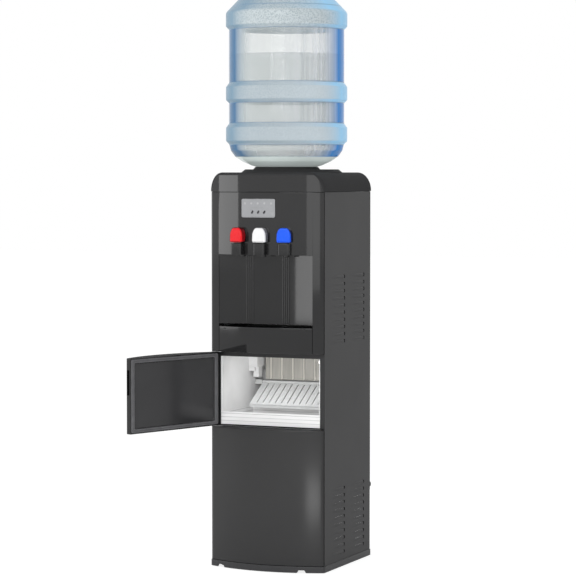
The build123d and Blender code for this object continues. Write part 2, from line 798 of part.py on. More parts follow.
with BuildPart() as display_lights:
    with BuildSketch(display_facing):
        with Locations((0, light_z)):
            with GridLocations(light_pitch, 0, 5, 1):
                Circle(light_radius)
    extrude(amount=2 * display_boss)
    with BuildSketch(Plane.XY.offset(display_bottom)):
        with Locations((0, front_centre_y)):
            Circle(front_radius + display_rise - display_recess + light_rise)
            Circle(front_radius + display_rise - display_recess, mode=Mode.SUBTRACT)
    extrude(amount=display_height, mode=Mode.INTERSECT)
save(display_lights, "display_lights")

for name, place in zip(("left", "middle", "right"), button_places):
    with BuildPart() as button:
        with BuildSketch(display_facing.offset(-display_boss - fit_gap)):
            with Locations(place):
                SlotOverall(button_length, button_width, rotation=button_slant)
        extrude(amount=display_boss + fit_gap + display_rise + button_proud)
        with BuildSketch(display_facing.offset(-display_boss - fit_gap - button_flange)):
            with Locations(place):
                Circle(button_flange_radius)
        extrude(amount=button_flange)
    save(button, f"button_{name}")

with BuildPart() as display_board:
    with BuildSketch(display_facing.offset(-board_setback - board_thickness)):
        with Locations((0, window_middle)):
            Rectangle(2 * (window_half - board_margin), window_top - window_bottom - 2 * board_margin)
    extrude(amount=board_thickness)
    with BuildSketch(display_facing.offset(-board_setback)):
        with Locations((0, window_middle)):
            spread_x = 2 * (window_half - board_margin - standoff_radius)
            spread_z = window_top - window_bottom - 2 * (board_margin + standoff_radius)
            with GridLocations(spread_x, spread_z, 2, 2):
                Circle(standoff_radius)
    extrude(amount=board_setback - display_boss)
save(display_board, "display_board")

# Taps: a valve behind the fascia, a body in front of it and a coloured lever hung on a pin
bib_half = 15.5
bib_bottom = 768.0
bib_top = 795.6
bib_depth = 19.0
bib_corner = 6.0
tap_gap = 0.2
stem_half = 10.0
stem_depth = 11.0
ear_bottom = 812.0
ear_top = 823.0
ear_depth = 14.5
lever_bottom = 797.0
lever_top = 832.0
lever_half = 20.0
lever_flat_half = 9.0
lever_shoulder = 808.0
lever_back = 1.0
lever_front = 19.0
lever_wall = 2.2
lever_round = 2.0
lever_cut_top = 815.0
lever_cut_back = 4.5
pivot_out = 12.0
pivot_z = 818.0
tap_pin_radius = 2.0
tap_pin_half = 15.0
valve_front = 3.2
valve_back = 24.0
valve_half = 14.0
valve_bottom = 771.5
valve_top = 800.0
nozzle_drop = 4.0
nozzle_bore = 3.5
nozzle_bore_depth = 9.0
stub_radius = 4.0
stub_length = 8.0
stub_z = 785.0
front_face_share = 0.7


def tap_body(x):
    facing, pivot, level = radial_planes(x)
    with BuildPart() as body:
        with BuildSketch(level.offset(bib_bottom)):
            with Locations((0, -tap_gap)):
                Rectangle(2 * bib_half, bib_depth - tap_gap, align=(Align.CENTER, Align.MAX))
            fillet(vertices().group_by(Axis.Y)[0], bib_corner)
        extrude(amount=bib_top - bib_bottom)
        with BuildSketch(level.offset(bib_top)):
            with Locations((0, -tap_gap)):
                Rectangle(2 * stem_half, stem_depth - tap_gap, align=(Align.CENTER, Align.MAX))
        extrude(amount=ear_bottom - bib_top)
        with BuildSketch(level.offset(ear_bottom)):
            with Locations((0, -tap_gap)):
                Rectangle(2 * stem_half, ear_depth - tap_gap, align=(Align.CENTER, Align.MAX))
        extrude(amount=ear_top - ear_bottom)
        with BuildSketch(pivot):
            with Locations((pivot_out, -pivot_z)):
                Circle(tap_pin_radius)
        extrude(amount=tap_pin_half, both=True)
        with BuildSketch(facing.offset(-valve_front)):
            with Locations((0, (neck_bottom + neck_top) / 2)):
                Rectangle(2 * neck_half, neck_top - neck_bottom)
        extrude(amount=valve_front + 2 * tap_gap)
        with BuildSketch(facing.offset(-valve_back)):
            with Locations((0, (valve_bottom + valve_top) / 2)):
                Rectangle(2 * valve_half, valve_top - valve_bottom)
        extrude(amount=valve_back - valve_front)
        with BuildSketch(facing.offset(-valve_back - stub_length)):
            with Locations((0, stub_z)):
                Circle(stub_radius)
        extrude(amount=stub_length)
        with BuildSketch(level.offset(bay_top - nozzle_drop)):
            with Locations((0, nozzle_setback)):
                Circle(nozzle_radius)
        extrude(amount=valve_bottom - bay_top + nozzle_drop)
        with BuildSketch(level.offset(bay_top - nozzle_drop)):
            with Locations((0, nozzle_setback)):
                Circle(nozzle_bore)
        extrude(amount=nozzle_bore_depth, mode=Mode.SUBTRACT)
    return body


def lever_plan(inset, low):
    # front view of a lever: straight sides that round in to a narrower flat top
    half = lever_half - inset
    top = lever_top - inset
    with BuildSketch() as plan:
        with BuildLine():
            right = EllipticalCenterArc(
                (lever_flat_half, lever_shoulder), half - lever_flat_half, top - lever_shoulder, arc_size=90
            )
            left = mirror(right, about=Plane.YZ)
            Line(right @ 1, (-lever_flat_half, top))
            Polyline((-half, lever_shoulder), (-half, low), (half, low), (half, lever_shoulder))
        make_face()
    return plan.sketch


def tap_lever(x):
    facing, pivot, level = radial_planes(x)
    with BuildPart() as lever:
        with BuildSketch(facing.offset(lever_back)):
            add(lever_plan(0, lever_bottom))
        extrude(amount=lever_front - lever_back)
        front_faces = lever.faces().filter_by(lambda face: face.normal_at().dot(facing.z_dir) > front_face_share)
        fillet(front_faces.edges(), lever_round)
        with BuildSketch(facing.offset(lever_back)):
            add(lever_plan(lever_wall, lever_bottom - overrun))
        extrude(amount=lever_front - lever_back - lever_wall, mode=Mode.SUBTRACT)
        with BuildSketch(pivot):
            with BuildLine():
                Polyline((-overrun, -lever_cut_top), (lever_back, -lever_cut_top),
                         (lever_cut_back, -lever_bottom), (lever_cut_back, overrun - lever_bottom),
                         (-overrun, overrun - lever_bottom), close=True)
            make_face()
        extrude(amount=lever_half + overrun, both=True, mode=Mode.SUBTRACT)
        # bosses beside the ears, bored for the pin
        with BuildSketch(pivot):
            with Locations((pivot_out, -pivot_z)):
                Circle(2 * tap_pin_radius)
        extrude(amount=tap_pin_half + wall, both=True)
        with BuildSketch(pivot):
            with Locations((pivot_out, -pivot_z)):
                Circle(2 * tap_pin_radius + fit_gap)
        extrude(amount=stem_half + fit_gap, both=True, mode=Mode.SUBTRACT)
        with BuildSketch(pivot):
            with Locations((pivot_out, -pivot_z)):
                Circle(tap_pin_radius + pin_clearance)
        extrude(amount=tap_pin_half + fit_gap, both=True, mode=Mode.SUBTRACT)
    return lever


for name, x in zip(("hot", "room", "cold"), tap_places):
    save(tap_body(x), f"tap_body_{name}")
    save(tap_lever(x), f"tap_lever_{name}")

# Bay liner: slanted side walls, ribbed turns and a flat back behind the cups
bay_step = 1.5
bay_rib_outer = 58.0
bay_rib_inner = 37.0
bay_turn_y = -146.0
bay_back_y = -143.0
bay_rib_count = 4
bay_rib_radius = 1.7
liner_edge = bay_half - fit_gap
bay_edge_y = front_y(bay_half) + bay_step
bay_profile = [(liner_edge, bay_edge_y), (bay_rib_outer, bay_turn_y), (bay_rib_inner, bay_back_y)]

with BuildPart() as bay_liner:
    with BuildSketch(Plane.XY.offset(bay_bottom)):
        with BuildLine():
            face_line = bay_profile + [(-x, y) for x, y in reversed(bay_profile)]
            rear_line = [(x, y + wall) for x, y in reversed(face_line)]
            Polyline(*face_line, *rear_line, close=True)
        make_face()
        for side in (-1, 1):
            for rib in range(bay_rib_count):
                share = (rib + 0.5) / bay_rib_count
                rib_x = bay_rib_inner + share * (bay_rib_outer - bay_rib_inner)
                rib_y = bay_back_y + share * (bay_turn_y - bay_back_y)
                with Locations((side * rib_x, rib_y)):
                    RegularPolygon(bay_rib_radius, 8)
    extrude(amount=bay_top - bay_bottom)
save(bay_liner, "bay_liner")

# Drip tray with its grille, sliding in a channel behind the fascia
tray_half = bay_half - 2 * fit_gap
tray_bottom = fascia_bottom + fit_gap / 3
tray_top = 592.5
tray_back = -62.0
tray_wall = 2.2
tray_ledge = 2.0
grille_thickness = 3.0
grille_drop = 3.0
grille_pitch = 11.0
grille_slot = 4.6
grille_slots = 19
grille_slot_front = -168.0
grille_slot_back = -92.0
grille_bottom = tray_top - grille_drop - grille_thickness


def tray_plan(inset):
    return front_plan(tray_half - inset, tray_back - inset, inset)


with BuildPart() as drip_tray:
    with BuildSketch(Plane.XY.offset(tray_bottom)):
        add(tray_plan(0))
    extrude(amount=tray_top - tray_bottom)
    with BuildSketch(Plane.XY.offset(tray_bottom + tray_wall)):
        add(tray_plan(tray_wall + tray_ledge))
    extrude(amount=tray_top - tray_bottom, mode=Mode.SUBTRACT)
    with BuildSketch(Plane.XY.offset(grille_bottom)):
        add(tray_plan(tray_wall))
    extrude(amount=tray_top - grille_bottom, mode=Mode.SUBTRACT)
save(drip_tray, "drip_tray")

with BuildPart() as drip_grille:
    with BuildSketch(Plane.XY.offset(grille_bottom)):
        add(tray_plan(tray_wall + fit_gap))
        with Locations((0, (grille_slot_front + grille_slot_back) / 2)):
            with GridLocations(grille_pitch, 0, grille_slots, 1):
                Rectangle(grille_slot, grille_slot_back - grille_slot_front, mode=Mode.SUBTRACT)
    extrude(amount=grille_thickness)
save(drip_grille, "drip_grille")

channel_wall = 2.0
channel_inner = bay_half
channel_back = tray_back + channel_wall
channel_front = flange_front + fit_gap
channel_floor = fascia_bottom - fit_gap - channel_wall
channel_depth = channel_back + channel_wall - channel_front
with BuildPart() as tray_channel:
    with BuildSketch(Plane.XY.offset(channel_floor)):
        with Locations((0, channel_front)):
            Rectangle(2 * (channel_inner + channel_wall), channel_depth, align=(Align.CENTER, Align.MIN))
    extrude(amount=bay_bottom - seam - channel_floor)
    with BuildSketch(Plane.XY.offset(channel_floor + channel_wall)):
        with Locations((0, channel_back)):
            Rectangle(2 * channel_inner, cabinet_depth, align=(Align.CENTER, Align.MAX))
    extrude(amount=bay_bottom, mode=Mode.SUBTRACT)
save(tray_channel, "tray_channel")

# Top cover: a moulded lid with large rounded shoulders and a raised round platform
cover_half = half_width + base_overhang
cover_back = half_depth + seam / 2
cover_shoulder_x = 36.5
cover_shoulder_z = 45.5
cover_wall = 3.0
cover_round = 6.0
platform_base_radius = 125.0
platform_top_radius = 115.5
platform_height = 7.5
seat_hole_radius = 70.5
platform_top = cover_top + platform_height


def cover_form(inset, low):
    # the lid's outer form, moved inwards by inset and down to low
    half = cover_half - inset
    top = cover_top - inset
    with BuildPart() as form:
        with BuildSketch(Plane.XZ.offset(inset - cover_back)):
            with BuildLine():
                right = EllipticalCenterArc(
                    (cover_half - cover_shoulder_x, cover_top - cover_shoulder_z),
                    cover_shoulder_x - inset, cover_shoulder_z - inset, arc_size=90,
                )
                left = mirror(right, about=Plane.YZ)
                Line(right @ 1, left @ 1)
                Polyline(left @ 0, (-half, low), (half, low), right @ 0)
            make_face()
        extrude(amount=cabinet_depth + front_bulge)
        with BuildSketch(Plane.XY.offset(low)):
            add(front_plan(half, cover_back - inset, inset - base_overhang, corner_radius + seam))
        extrude(amount=top - low, mode=Mode.INTERSECT)
        # the upper front edge, rounded along the bow
        with BuildSketch(Plane(origin=(0, front_centre_y, 0), x_dir=(1, 0, 0), z_dir=(0, -1, 0))):
            Rectangle(front_radius + base_overhang - inset, top, align=Align.MIN)
            fillet(vertices().sort_by_distance((front_radius, front_centre_y, top))[0], cover_round)
        revolve(axis=Axis((0, front_centre_y, 0), (0, 0, 1)), mode=Mode.INTERSECT)
    return form.part


with BuildPart() as top_cover:
    add(cover_form(0, cover_bottom))
    with BuildSketch(Plane.XY.offset(cover_top - cover_wall)):
        Circle(platform_base_radius)
    extrude(amount=cover_wall)
    with Locations((0, 0, cover_top)):
        Cone(platform_base_radius, platform_top_radius, platform_height, align=(Align.CENTER, Align.CENTER, Align.MIN))
    add(cover_form(cover_wall, cover_bottom - overrun), mode=Mode.SUBTRACT)
    with BuildSketch(Plane.XY.offset(cover_bottom)):
        Circle(platform_top_radius - cover_wall)
    extrude(amount=platform_top - cover_wall - cover_bottom, mode=Mode.SUBTRACT)
    with BuildSketch(Plane.XY.offset(cover_bottom)):
        with Locations((0, bottle_y)):
            Circle(seat_hole_radius)
    extrude(amount=platform_top, mode=Mode.SUBTRACT)
save(top_cover, "top_cover")

# Bottle seat: a funnel with a well for the bottle's neck and a probe that opens its cap
seat_foot_radius = 82.5
seat_rim_radius = 77.0
seat_rim_inner = 74.5
seat_height = 6.0
seat_flange_radius = 68.0
well_radius = 32.0
well_top = 958.0
well_floor = 905.0
probe_radius = 8.0
probe_bore = 5.0
probe_top = 950.0
seat_top = platform_top + seat_height
bottle_axis = Axis((0, bottle_y, 0), (0, 0, 1))
bottle_plane = Plane(origin=(0, bottle_y, 0), x_dir=(1, 0, 0), z_dir=(0, -1, 0))

with BuildPart() as bottle_seat:
    with BuildSketch(bottle_plane):
        with BuildLine():
            Polyline(
                (seat_foot_radius, platform_top), (seat_rim_radius, seat_top), (seat_rim_inner, seat_top),
                (well_radius, well_top), (well_radius, well_floor), (probe_bore, well_floor),
                (probe_bore, well_floor - wall), (well_radius + wall, well_floor - wall),
                (well_radius + wall, well_top - wall), (seat_flange_radius, platform_top), close=True,
            )
        make_face()
        with Locations((probe_bore, well_floor)):
            Rectangle(probe_radius - probe_bore, probe_top - well_floor, align=Align.MIN)
    revolve(axis=bottle_axis)
save(bottle_seat, "bottle_seat")

# Bottle upside down: neck, sloped shoulder, body with three raised bands, recessed base on top
neck_radius = 27.5
neck_end = 912.0
throat_radius = 30.0
throat_z = 963.0
slope_radius = 86.5
slope_z = 983.5
shoulder_radius = 125.0
shoulder_z = 1004.6
body_radius = 141.5
body_z = 1035.0
band_radius = 149.0
band_edges = ((1035.0, 1043.6, 1076.0, 1086.0), (1136.6, 1144.0, 1175.6, 1185.5), (1316.0, 1324.0, 1357.0, 1357.0))
base_edge_radius = 121.5
bottle_top = 1388.0
base_round = 2.5
base_dish_radius = 95.0
base_dish = 8.0
bottle_wall = 1.8
water_gap = 0.3
water_line = 1260.0
water_low = probe_top + wall


def bottle_plan(inset):
    # half section of the bottle, moved inwards by inset
    points = [(slope_radius, slope_z), (shoulder_radius, shoulder_z)]
    bands = []
    for low, rise, fall, high in band_edges[:2]:
        bands += [(body_radius, low), (band_radius, rise), (band_radius, fall), (body_radius, high)]
    low, rise, fall, high = band_edges[2]
    bands += [(body_radius, low), (band_radius, rise), (band_radius, fall)]
    with BuildSketch() as plan:
        with BuildLine():
            Polyline(
                (0, neck_end), (neck_radius, neck_end), (neck_radius, throat_z - throat_radius + neck_radius),
                (throat_radius, throat_z), (seat_rim_inner, seat_top + fit_gap), *points,
            )
            TangentArc((body_radius, body_z), (shoulder_radius, shoulder_z), tangent=(0, -1))
            Polyline(*bands)
            Polyline(
                bands[-1], (base_edge_radius, bottle_top - base_round), (base_edge_radius - base_round, bottle_top),
                (base_dish_radius, bottle_top), (base_dish_radius - base_dish, bottle_top - base_dish),
                (0, bottle_top - base_dish), (0, neck_end),
            )
        make_face()
        mirror(about=Plane.YZ)
        if inset > 0:
            offset(amount=-inset, mode=Mode.REPLACE)
        Rectangle(2 * band_radius, 2 * bottle_top, align=(Align.MAX, Align.CENTER), mode=Mode.SUBTRACT)
    return plan.sketch


with BuildPart() as water_bottle:
    with BuildSketch(bottle_plane):
        add(bottle_plan(0))
    revolve(axis=bottle_axis)
    with BuildSketch(bottle_plane):
        add(bottle_plan(bottle_wall))
    revolve(axis=bottle_axis, mode=Mode.SUBTRACT)
    with BuildSketch(Plane.XY.offset(neck_end)):
        with Locations((0, bottle_y)):
            Circle(neck_radius - bottle_wall)
    extrude(amount=wall, mode=Mode.SUBTRACT)
save(water_bottle, "water_bottle")

with BuildPart() as bottle_water:
    with BuildSketch(bottle_plane):
        add(bottle_plan(bottle_wall + water_gap))
    revolve(axis=bottle_axis)
    with BuildSketch(Plane.XY.offset(water_low)):
        with Locations((0, bottle_y)):
            Circle(band_radius)
    extrude(amount=water_line - water_low, mode=Mode.INTERSECT)
save(bottle_water, "bottle_water")

cap_gap = 0.15
cap_wall = 2.0
cap_bottom = neck_end - cap_wall - cap_gap
cap_top = 938.0
cap_hole = probe_radius + 2 * fit_gap
with BuildPart() as bottle_cap:
    with BuildSketch(bottle_plane):
        with Locations((0, cap_bottom)):
            Rectangle(neck_radius + cap_gap + cap_wall, cap_top - cap_bottom, align=Align.MIN)
        with Locations((0, cap_bottom + cap_wall)):
            Rectangle(neck_radius + cap_gap, cap_top - cap_bottom, align=Align.MIN, mode=Mode.SUBTRACT)
        with Locations((0, cap_bottom)):
            Rectangle(cap_hole, cap_top - cap_bottom, align=Align.MIN, mode=Mode.SUBTRACT)
    revolve(axis=bottle_axis)
save(bottle_cap, "bottle_cap")

# Cold tank under the seat, wrapped in foam on a shelf
tank_radius = 72.0
tank_bottom = 772.0
tank_lid = 3.0
tank_wall = 1.5
tank_lid_radius = 78.0
foam_radius = 92.0
foam_gap = 0.3
shelf_z = 752.0
shelf_front = -118.0
tube_radius = 4.0
tank_top = well_floor - wall - fit_gap
foam_top = tank_top - tank_lid - foam_gap
shelf_top = shelf_z + sheet
tap_tube_places = []
for x in tap_places:
    facing = radial_planes(x)[0]
    outlet = facing.origin - facing.z_dir * (valve_back + stub_length)
    tap_tube_places.append((outlet.X, outlet.Y))

with BuildPart() as cold_tank:
    with BuildSketch(Plane.XY.offset(tank_bottom)):
        with Locations((0, bottle_y)):
            Circle(tank_radius)
    extrude(amount=tank_top - tank_bottom)
    fillet(edges().group_by(Axis.Z)[0], tank_lid)
    with BuildSketch(Plane.XY.offset(tank_bottom + tank_wall)):
        with Locations((0, bottle_y)):
            Circle(tank_radius - tank_wall)
    extrude(amount=tank_top - tank_lid - tank_bottom - tank_wall, mode=Mode.SUBTRACT)
    with BuildSketch(Plane.XY.offset(tank_top - tank_lid)):
        with Locations((0, bottle_y)):
            Circle(tank_lid_radius)
    extrude(amount=tank_lid)
save(cold_tank, "cold_tank")

with BuildPart() as tank_insulation:
    with BuildSketch(Plane.XY.offset(shelf_top + foam_gap)):
        with Locations((0, bottle_y)):
            Circle(foam_radius)
    extrude(amount=foam_top - shelf_top - foam_gap)
    with BuildSketch(Plane.XY.offset(tank_bottom - foam_gap)):
        with Locations((0, bottle_y)):
            Circle(tank_radius + foam_gap)
    extrude(amount=tank_top, mode=Mode.SUBTRACT)
    with BuildSketch(Plane.XZ.offset(-bottle_y)):
        for x, y in tap_tube_places[1:]:
            with Locations((x, stub_z)):
                Circle(tube_radius + foam_gap)
    extrude(amount=2 * foam_radius, mode=Mode.SUBTRACT)
save(tank_insulation, "tank_insulation")

shelf_fold = 12.0
with BuildPart() as tank_shelf:
    with BuildSketch(Plane.XZ.offset(-shelf_front)):
        with BuildLine():
            edge = insulation_half
            Polyline((-edge, shelf_top), (-edge, shelf_top - shelf_fold), (sheet - edge, shelf_top - shelf_fold),
                     (sheet - edge, shelf_z), (edge - sheet, shelf_z), (edge - sheet, shelf_top - shelf_fold),
                     (edge, shelf_top - shelf_fold), (edge, shelf_top), close=True)
        make_face()
    extrude(amount=shelf_front - side_back + 2 * sheet)
save(tank_shelf, "tank_shelf")

# Hot tank on the rear wall, with its heater band
hot_x = 40.0
hot_y = 70.0
hot_radius = 48.0
hot_bottom = 590.0
hot_top = 742.0
hot_dome = 14.0
hot_tab_width = 30.0
hot_tab_height = 12.0
hot_tab_places = (612.0, 716.0)
band_bottom = 640.0
band_top = 672.0
band_thickness = 4.0
band_box = 16.0
back_inner = side_back - fit_gap / 3
with BuildPart() as hot_tank:
    with BuildSketch(Plane.XY.offset(hot_bottom)):
        with Locations((hot_x, hot_y)):
            Circle(hot_radius)
    extrude(amount=hot_top - hot_bottom)
    fillet(edges(), hot_dome)
    with BuildSketch(Plane.XY.offset(hot_bottom + tank_wall)):
        with Locations((hot_x, hot_y)):
            Circle(hot_radius - tank_wall)
    inside = extrude(amount=hot_top - hot_bottom - 2 * tank_wall, mode=Mode.PRIVATE)
    ends = inside.edges().filter_by(GeomType.CIRCLE)
    add(inside.fillet(hot_dome - tank_wall, ends), mode=Mode.SUBTRACT)
    for z in hot_tab_places:
        with BuildSketch(Plane.XY.offset(z - hot_tab_height / 2)):
            with Locations((hot_x, hot_y)):
                Rectangle(hot_tab_width, back_inner - hot_y, align=(Align.CENTER, Align.MIN))
        extrude(amount=hot_tab_height)
save(hot_tank, "hot_tank")

with BuildPart() as heater_band:
    with BuildSketch(Plane.XY.offset(band_bottom)):
        with Locations((hot_x, hot_y)):
            Circle(hot_radius + fit_gap / 3 + band_thickness)
            Circle(hot_radius + fit_gap / 3, mode=Mode.SUBTRACT)
    extrude(amount=band_top - band_bottom)
    with BuildSketch(Plane.XY.offset((band_bottom + band_top - band_box) / 2)):
        with Locations((hot_x - hot_radius - band_thickness, hot_y)):
            Rectangle(band_box, band_box, align=(Align.MAX, Align.CENTER))
    extrude(amount=band_box)
save(heater_band, "heater_band")

# Silicone tubes from the tanks to the taps
hot_tube_x = tap_tube_places[0][0]
hot_tube_drop_y = -124.5
hot_tube_z = 725.0
tube_bend = 12.0
with BuildPart() as water_tubes:
    for x, y in tap_tube_places[1:]:
        reach = bottle_y - sqrt(tank_radius**2 - max(0.0, x - tube_radius) ** 2) - fit_gap
        with BuildSketch(Plane.XZ.offset(-y - seam)):
            with Locations((x, stub_z)):
                Circle(tube_radius)
        extrude(amount=y + seam - reach)
    with BuildLine() as hot_route:
        FilletPolyline(
            (hot_tube_x, tap_tube_places[0][1] + seam, stub_z), (hot_tube_x, hot_tube_drop_y, stub_z),
            (hot_tube_x, hot_tube_drop_y, hot_tube_z), (hot_tube_x, hot_y, hot_tube_z),
            (hot_x - hot_radius - fit_gap, hot_y, hot_tube_z),
            radius=tube_bend,
        )
    with BuildSketch(Plane(origin=hot_route.line @ 0, z_dir=hot_route.line % 0)):
        Circle(tube_radius)
    sweep(path=hot_route.line)
save(water_tubes, "water_tubes")

# Compressor on rubber mounts in the open back of the base
compressor_x = 5.0
compressor_y = 58.0
compressor_radius = 66.0
seam_radius = 70.0
compressor_bottom = 33.0
compressor_shell_low = 52.0
compressor_seam_z = 98.0
compressor_seam_height = 5.0
compressor_shell_high = 138.0
compressor_top = 172.0
compressor_foot_x = 62.0
compressor_foot_y = 50.0
mount_radius = 9.0
foot_plate = 3.0
foot_plate_margin = 10.0
discharge_out = 20.0
discharge_radius = 4.0
discharge_top = 178.0
terminal_width = 44.0
terminal_height = 26.0
terminal_z = 121.0
terminal_depth = 12.0
compressor_axis = Axis((compressor_x, compressor_y, 0), (0, 0, 1))
with BuildPart() as compressor:
    with BuildSketch(Plane(origin=(compressor_x, compressor_y, 0), x_dir=(1, 0, 0), z_dir=(0, -1, 0))):
        with BuildLine():
            Line((0, compressor_top), (0, compressor_bottom))
            low = Line((0, compressor_bottom), (compressor_radius - compressor_shell_low + compressor_bottom,
                                                compressor_bottom))
            turn = TangentArc(low @ 1, (compressor_radius, compressor_shell_low), tangent=(1, 0))
            Polyline(
                turn @ 1, (compressor_radius, compressor_seam_z), (seam_radius, compressor_seam_z),
                (seam_radius, compressor_seam_z + compressor_seam_height),
                (compressor_radius, compressor_seam_z + compressor_seam_height),
                (compressor_radius, compressor_shell_high),
            )
            TangentArc((0, compressor_top), (compressor_radius, compressor_shell_high), tangent=(1, 0))
        make_face()
    revolve(axis=compressor_axis)
    with BuildSketch(Plane.XY.offset(compressor_bottom - foot_plate)):
        with Locations((compressor_x, compressor_y)):
            Rectangle(2 * (compressor_foot_x + foot_plate_margin), 2 * (compressor_foot_y + foot_plate_margin))
        fillet(vertices(), foot_plate_margin)
    extrude(amount=foot_plate)
    with BuildSketch(Plane.XY.offset(compressor_shell_high)):
        with Locations((compressor_x + discharge_out, compressor_y + discharge_out)):
            Circle(discharge_radius)
    extrude(amount=discharge_top - compressor_shell_high)
    with BuildSketch(Plane.YZ.offset(compressor_x - compressor_radius - terminal_depth)):
        with Locations((compressor_y, terminal_z)):
            Rectangle(terminal_width, terminal_height)
    extrude(amount=2 * terminal_depth)
save(compressor, "compressor")

with BuildPart() as compressor_mounts:
    with BuildSketch(Plane.XY.offset(base_top)):
        with Locations((compressor_x, compressor_y)):
            with GridLocations(2 * compressor_foot_x, 2 * compressor_foot_y, 2, 2):
                Circle(mount_radius)
    extrude(amount=compressor_bottom - foot_plate - base_top)
save(compressor_mounts, "compressor_mounts")

# Condenser on the back: one serpentine tube between two rows of wires
condenser_y = half_depth + 14.0
condenser_low = 310.0
condenser_pitch = 36.0
condenser_passes = 15
condenser_half = 123.0
condenser_tube_radius = 2.4
condenser_bend = 17.5
wire_size = 1.5
wire_pitch = 10.5
wire_count = 21
wire_overhang = 10.0
wire_gap = 0.1
inlet_z = 240.0
outlet_rise = 36.0
outlet_depth = 30.0
condenser_high = condenser_low + (condenser_passes - 1) * condenser_pitch
outlet_z = condenser_high + outlet_rise
pump_down_x = compressor_x + discharge_out
pump_down_y = compressor_y + discharge_out
serpentine = [
    (pump_down_x, pump_down_y, discharge_top + fit_gap), (pump_down_x, pump_down_y, inlet_z),
    (condenser_half, pump_down_y, inlet_z), (condenser_half, condenser_y, inlet_z),
]
side = 1
for step in range(condenser_passes):
    z = condenser_low + step * condenser_pitch
    serpentine += [(side * condenser_half, condenser_y, z), (-side * condenser_half, condenser_y, z)]
    side = -side
serpentine += [(side * condenser_half, condenser_y, outlet_z), (side * condenser_half, half_depth - outlet_depth, outlet_z)]

with BuildPart() as condenser_tube:
    with BuildLine() as serpentine_line:
        FilletPolyline(*serpentine, radius=condenser_bend)
    with BuildSketch(Plane(origin=serpentine[0], z_dir=(0, 0, 1))):
        RegularPolygon(condenser_tube_radius, 6)
    sweep(path=serpentine_line.line)
save(condenser_tube, "condenser_tube")

wire_length = condenser_high - condenser_low + 2 * wire_overhang
wire_offset = condenser_tube_radius + wire_gap + wire_size / 2
with BuildPart() as condenser_wires:
    with BuildSketch(Plane.XY.offset(condenser_low - wire_overhang)):
        with Locations((0, condenser_y)):
            with GridLocations(wire_pitch, 2 * wire_offset, wire_count, 2):
                Rectangle(wire_size, wire_size)
    extrude(amount=wire_length)
save(condenser_wires, "condenser_wires")

# Back panel above the open compressor bay, with what passes through it
back_panel_bottom = 168.0
drain_places = ((135.0, 179.0), (108.0, 190.0))
drain_pipe_radius = 6.0
drain_cap_radius = 10.0
drain_flange = 3.0
drain_reach = 21.0
gland_place = (-120.0, 200.0)
gland_radius = 9.0
gland_tip_radius = 6.0
gland_bore = 3.5
gland_length = 16.0
gland_flange = 2.0
gland_neck_radius = 6.0
switch_places = ((-85.0, 888.0), (-50.0, 888.0))
switch_width = 22.0
switch_height = 27.0
switch_flange = 2.0
switch_body_width = 17.0
switch_body_height = 22.5
switch_depth = 16.0
rocker_half_width = 6.5
rocker_half_height = 8.5
rocker_pivot_out = -1.0
rocker_front = 6.0
rocker_waist = 4.5
rocker_back = 4.0
rocker_throw = 8.0
rocker_pin_radius = 1.2
rocker_pin = 1.5
pocket_half_height = 9.8
bracket_width = 6.0
bracket_height = 8.0
bracket_x = 8.5 * wire_pitch
bracket_passes = (1, 13)
tube_hole_radius = condenser_tube_radius + seam
back_plane = Plane(origin=(0, half_depth, 0), x_dir=(-1, 0, 0), z_dir=(0, 1, 0))


def on_back(x, z):
    # a place on the back panel in its own plane, seen from behind
    return (-x, z)


with BuildPart() as back_panel:
    with BuildSketch(back_plane.offset(-sheet)):
        with Locations((0, (side_top - seam + back_panel_bottom) / 2)):
            Rectangle(2 * half_width - fit_gap, side_top - seam - back_panel_bottom)
        with Locations(*[on_back(x, z) for x, z in drain_places]):
            Circle(drain_pipe_radius + fit_gap, mode=Mode.SUBTRACT)
        with Locations(on_back(*gland_place)):
            Circle(gland_neck_radius + fit_gap, mode=Mode.SUBTRACT)
        with Locations(*[on_back(x, z) for x, z in switch_places]):
            Rectangle(switch_body_width + fit_gap, switch_body_height + fit_gap, mode=Mode.SUBTRACT)
        with Locations(on_back(condenser_half, inlet_z), on_back(side * condenser_half, outlet_z)):
            Circle(tube_hole_radius, mode=Mode.SUBTRACT)
    extrude(amount=sheet)
save(back_panel, "back_panel")

with BuildPart() as condenser_brackets:
    with BuildSketch(back_plane):
        for place in (-bracket_x, bracket_x):
            for step in bracket_passes:
                with Locations((place, condenser_low + step * condenser_pitch)):
                    Rectangle(bracket_width, bracket_height)
    extrude(amount=condenser_y - half_depth - condenser_tube_radius - wire_gap)
save(condenser_brackets, "condenser_brackets")

with BuildPart() as drain_outlets:
    with BuildSketch(back_plane.offset(-sheet)):
        with Locations(*[on_back(x, z) for x, z in drain_places]):
            Circle(drain_pipe_radius)
    extrude(amount=sheet + drain_flange)
    with BuildSketch(back_plane):
        with Locations(*[on_back(x, z) for x, z in drain_places]):
            Circle(drain_cap_radius)
    extrude(amount=drain_flange)
    with BuildSketch(back_plane.offset(drain_flange)):
        with Locations(*[on_back(x, z) for x, z in drain_places]):
            RegularPolygon(drain_cap_radius, 12)
    extrude(amount=drain_reach - drain_flange)
    chamfer(faces().sort_by(Axis.Y)[-1].edges() + faces().sort_by(Axis.Y)[-2].edges(), seam)
save(drain_outlets, "drain_outlets")

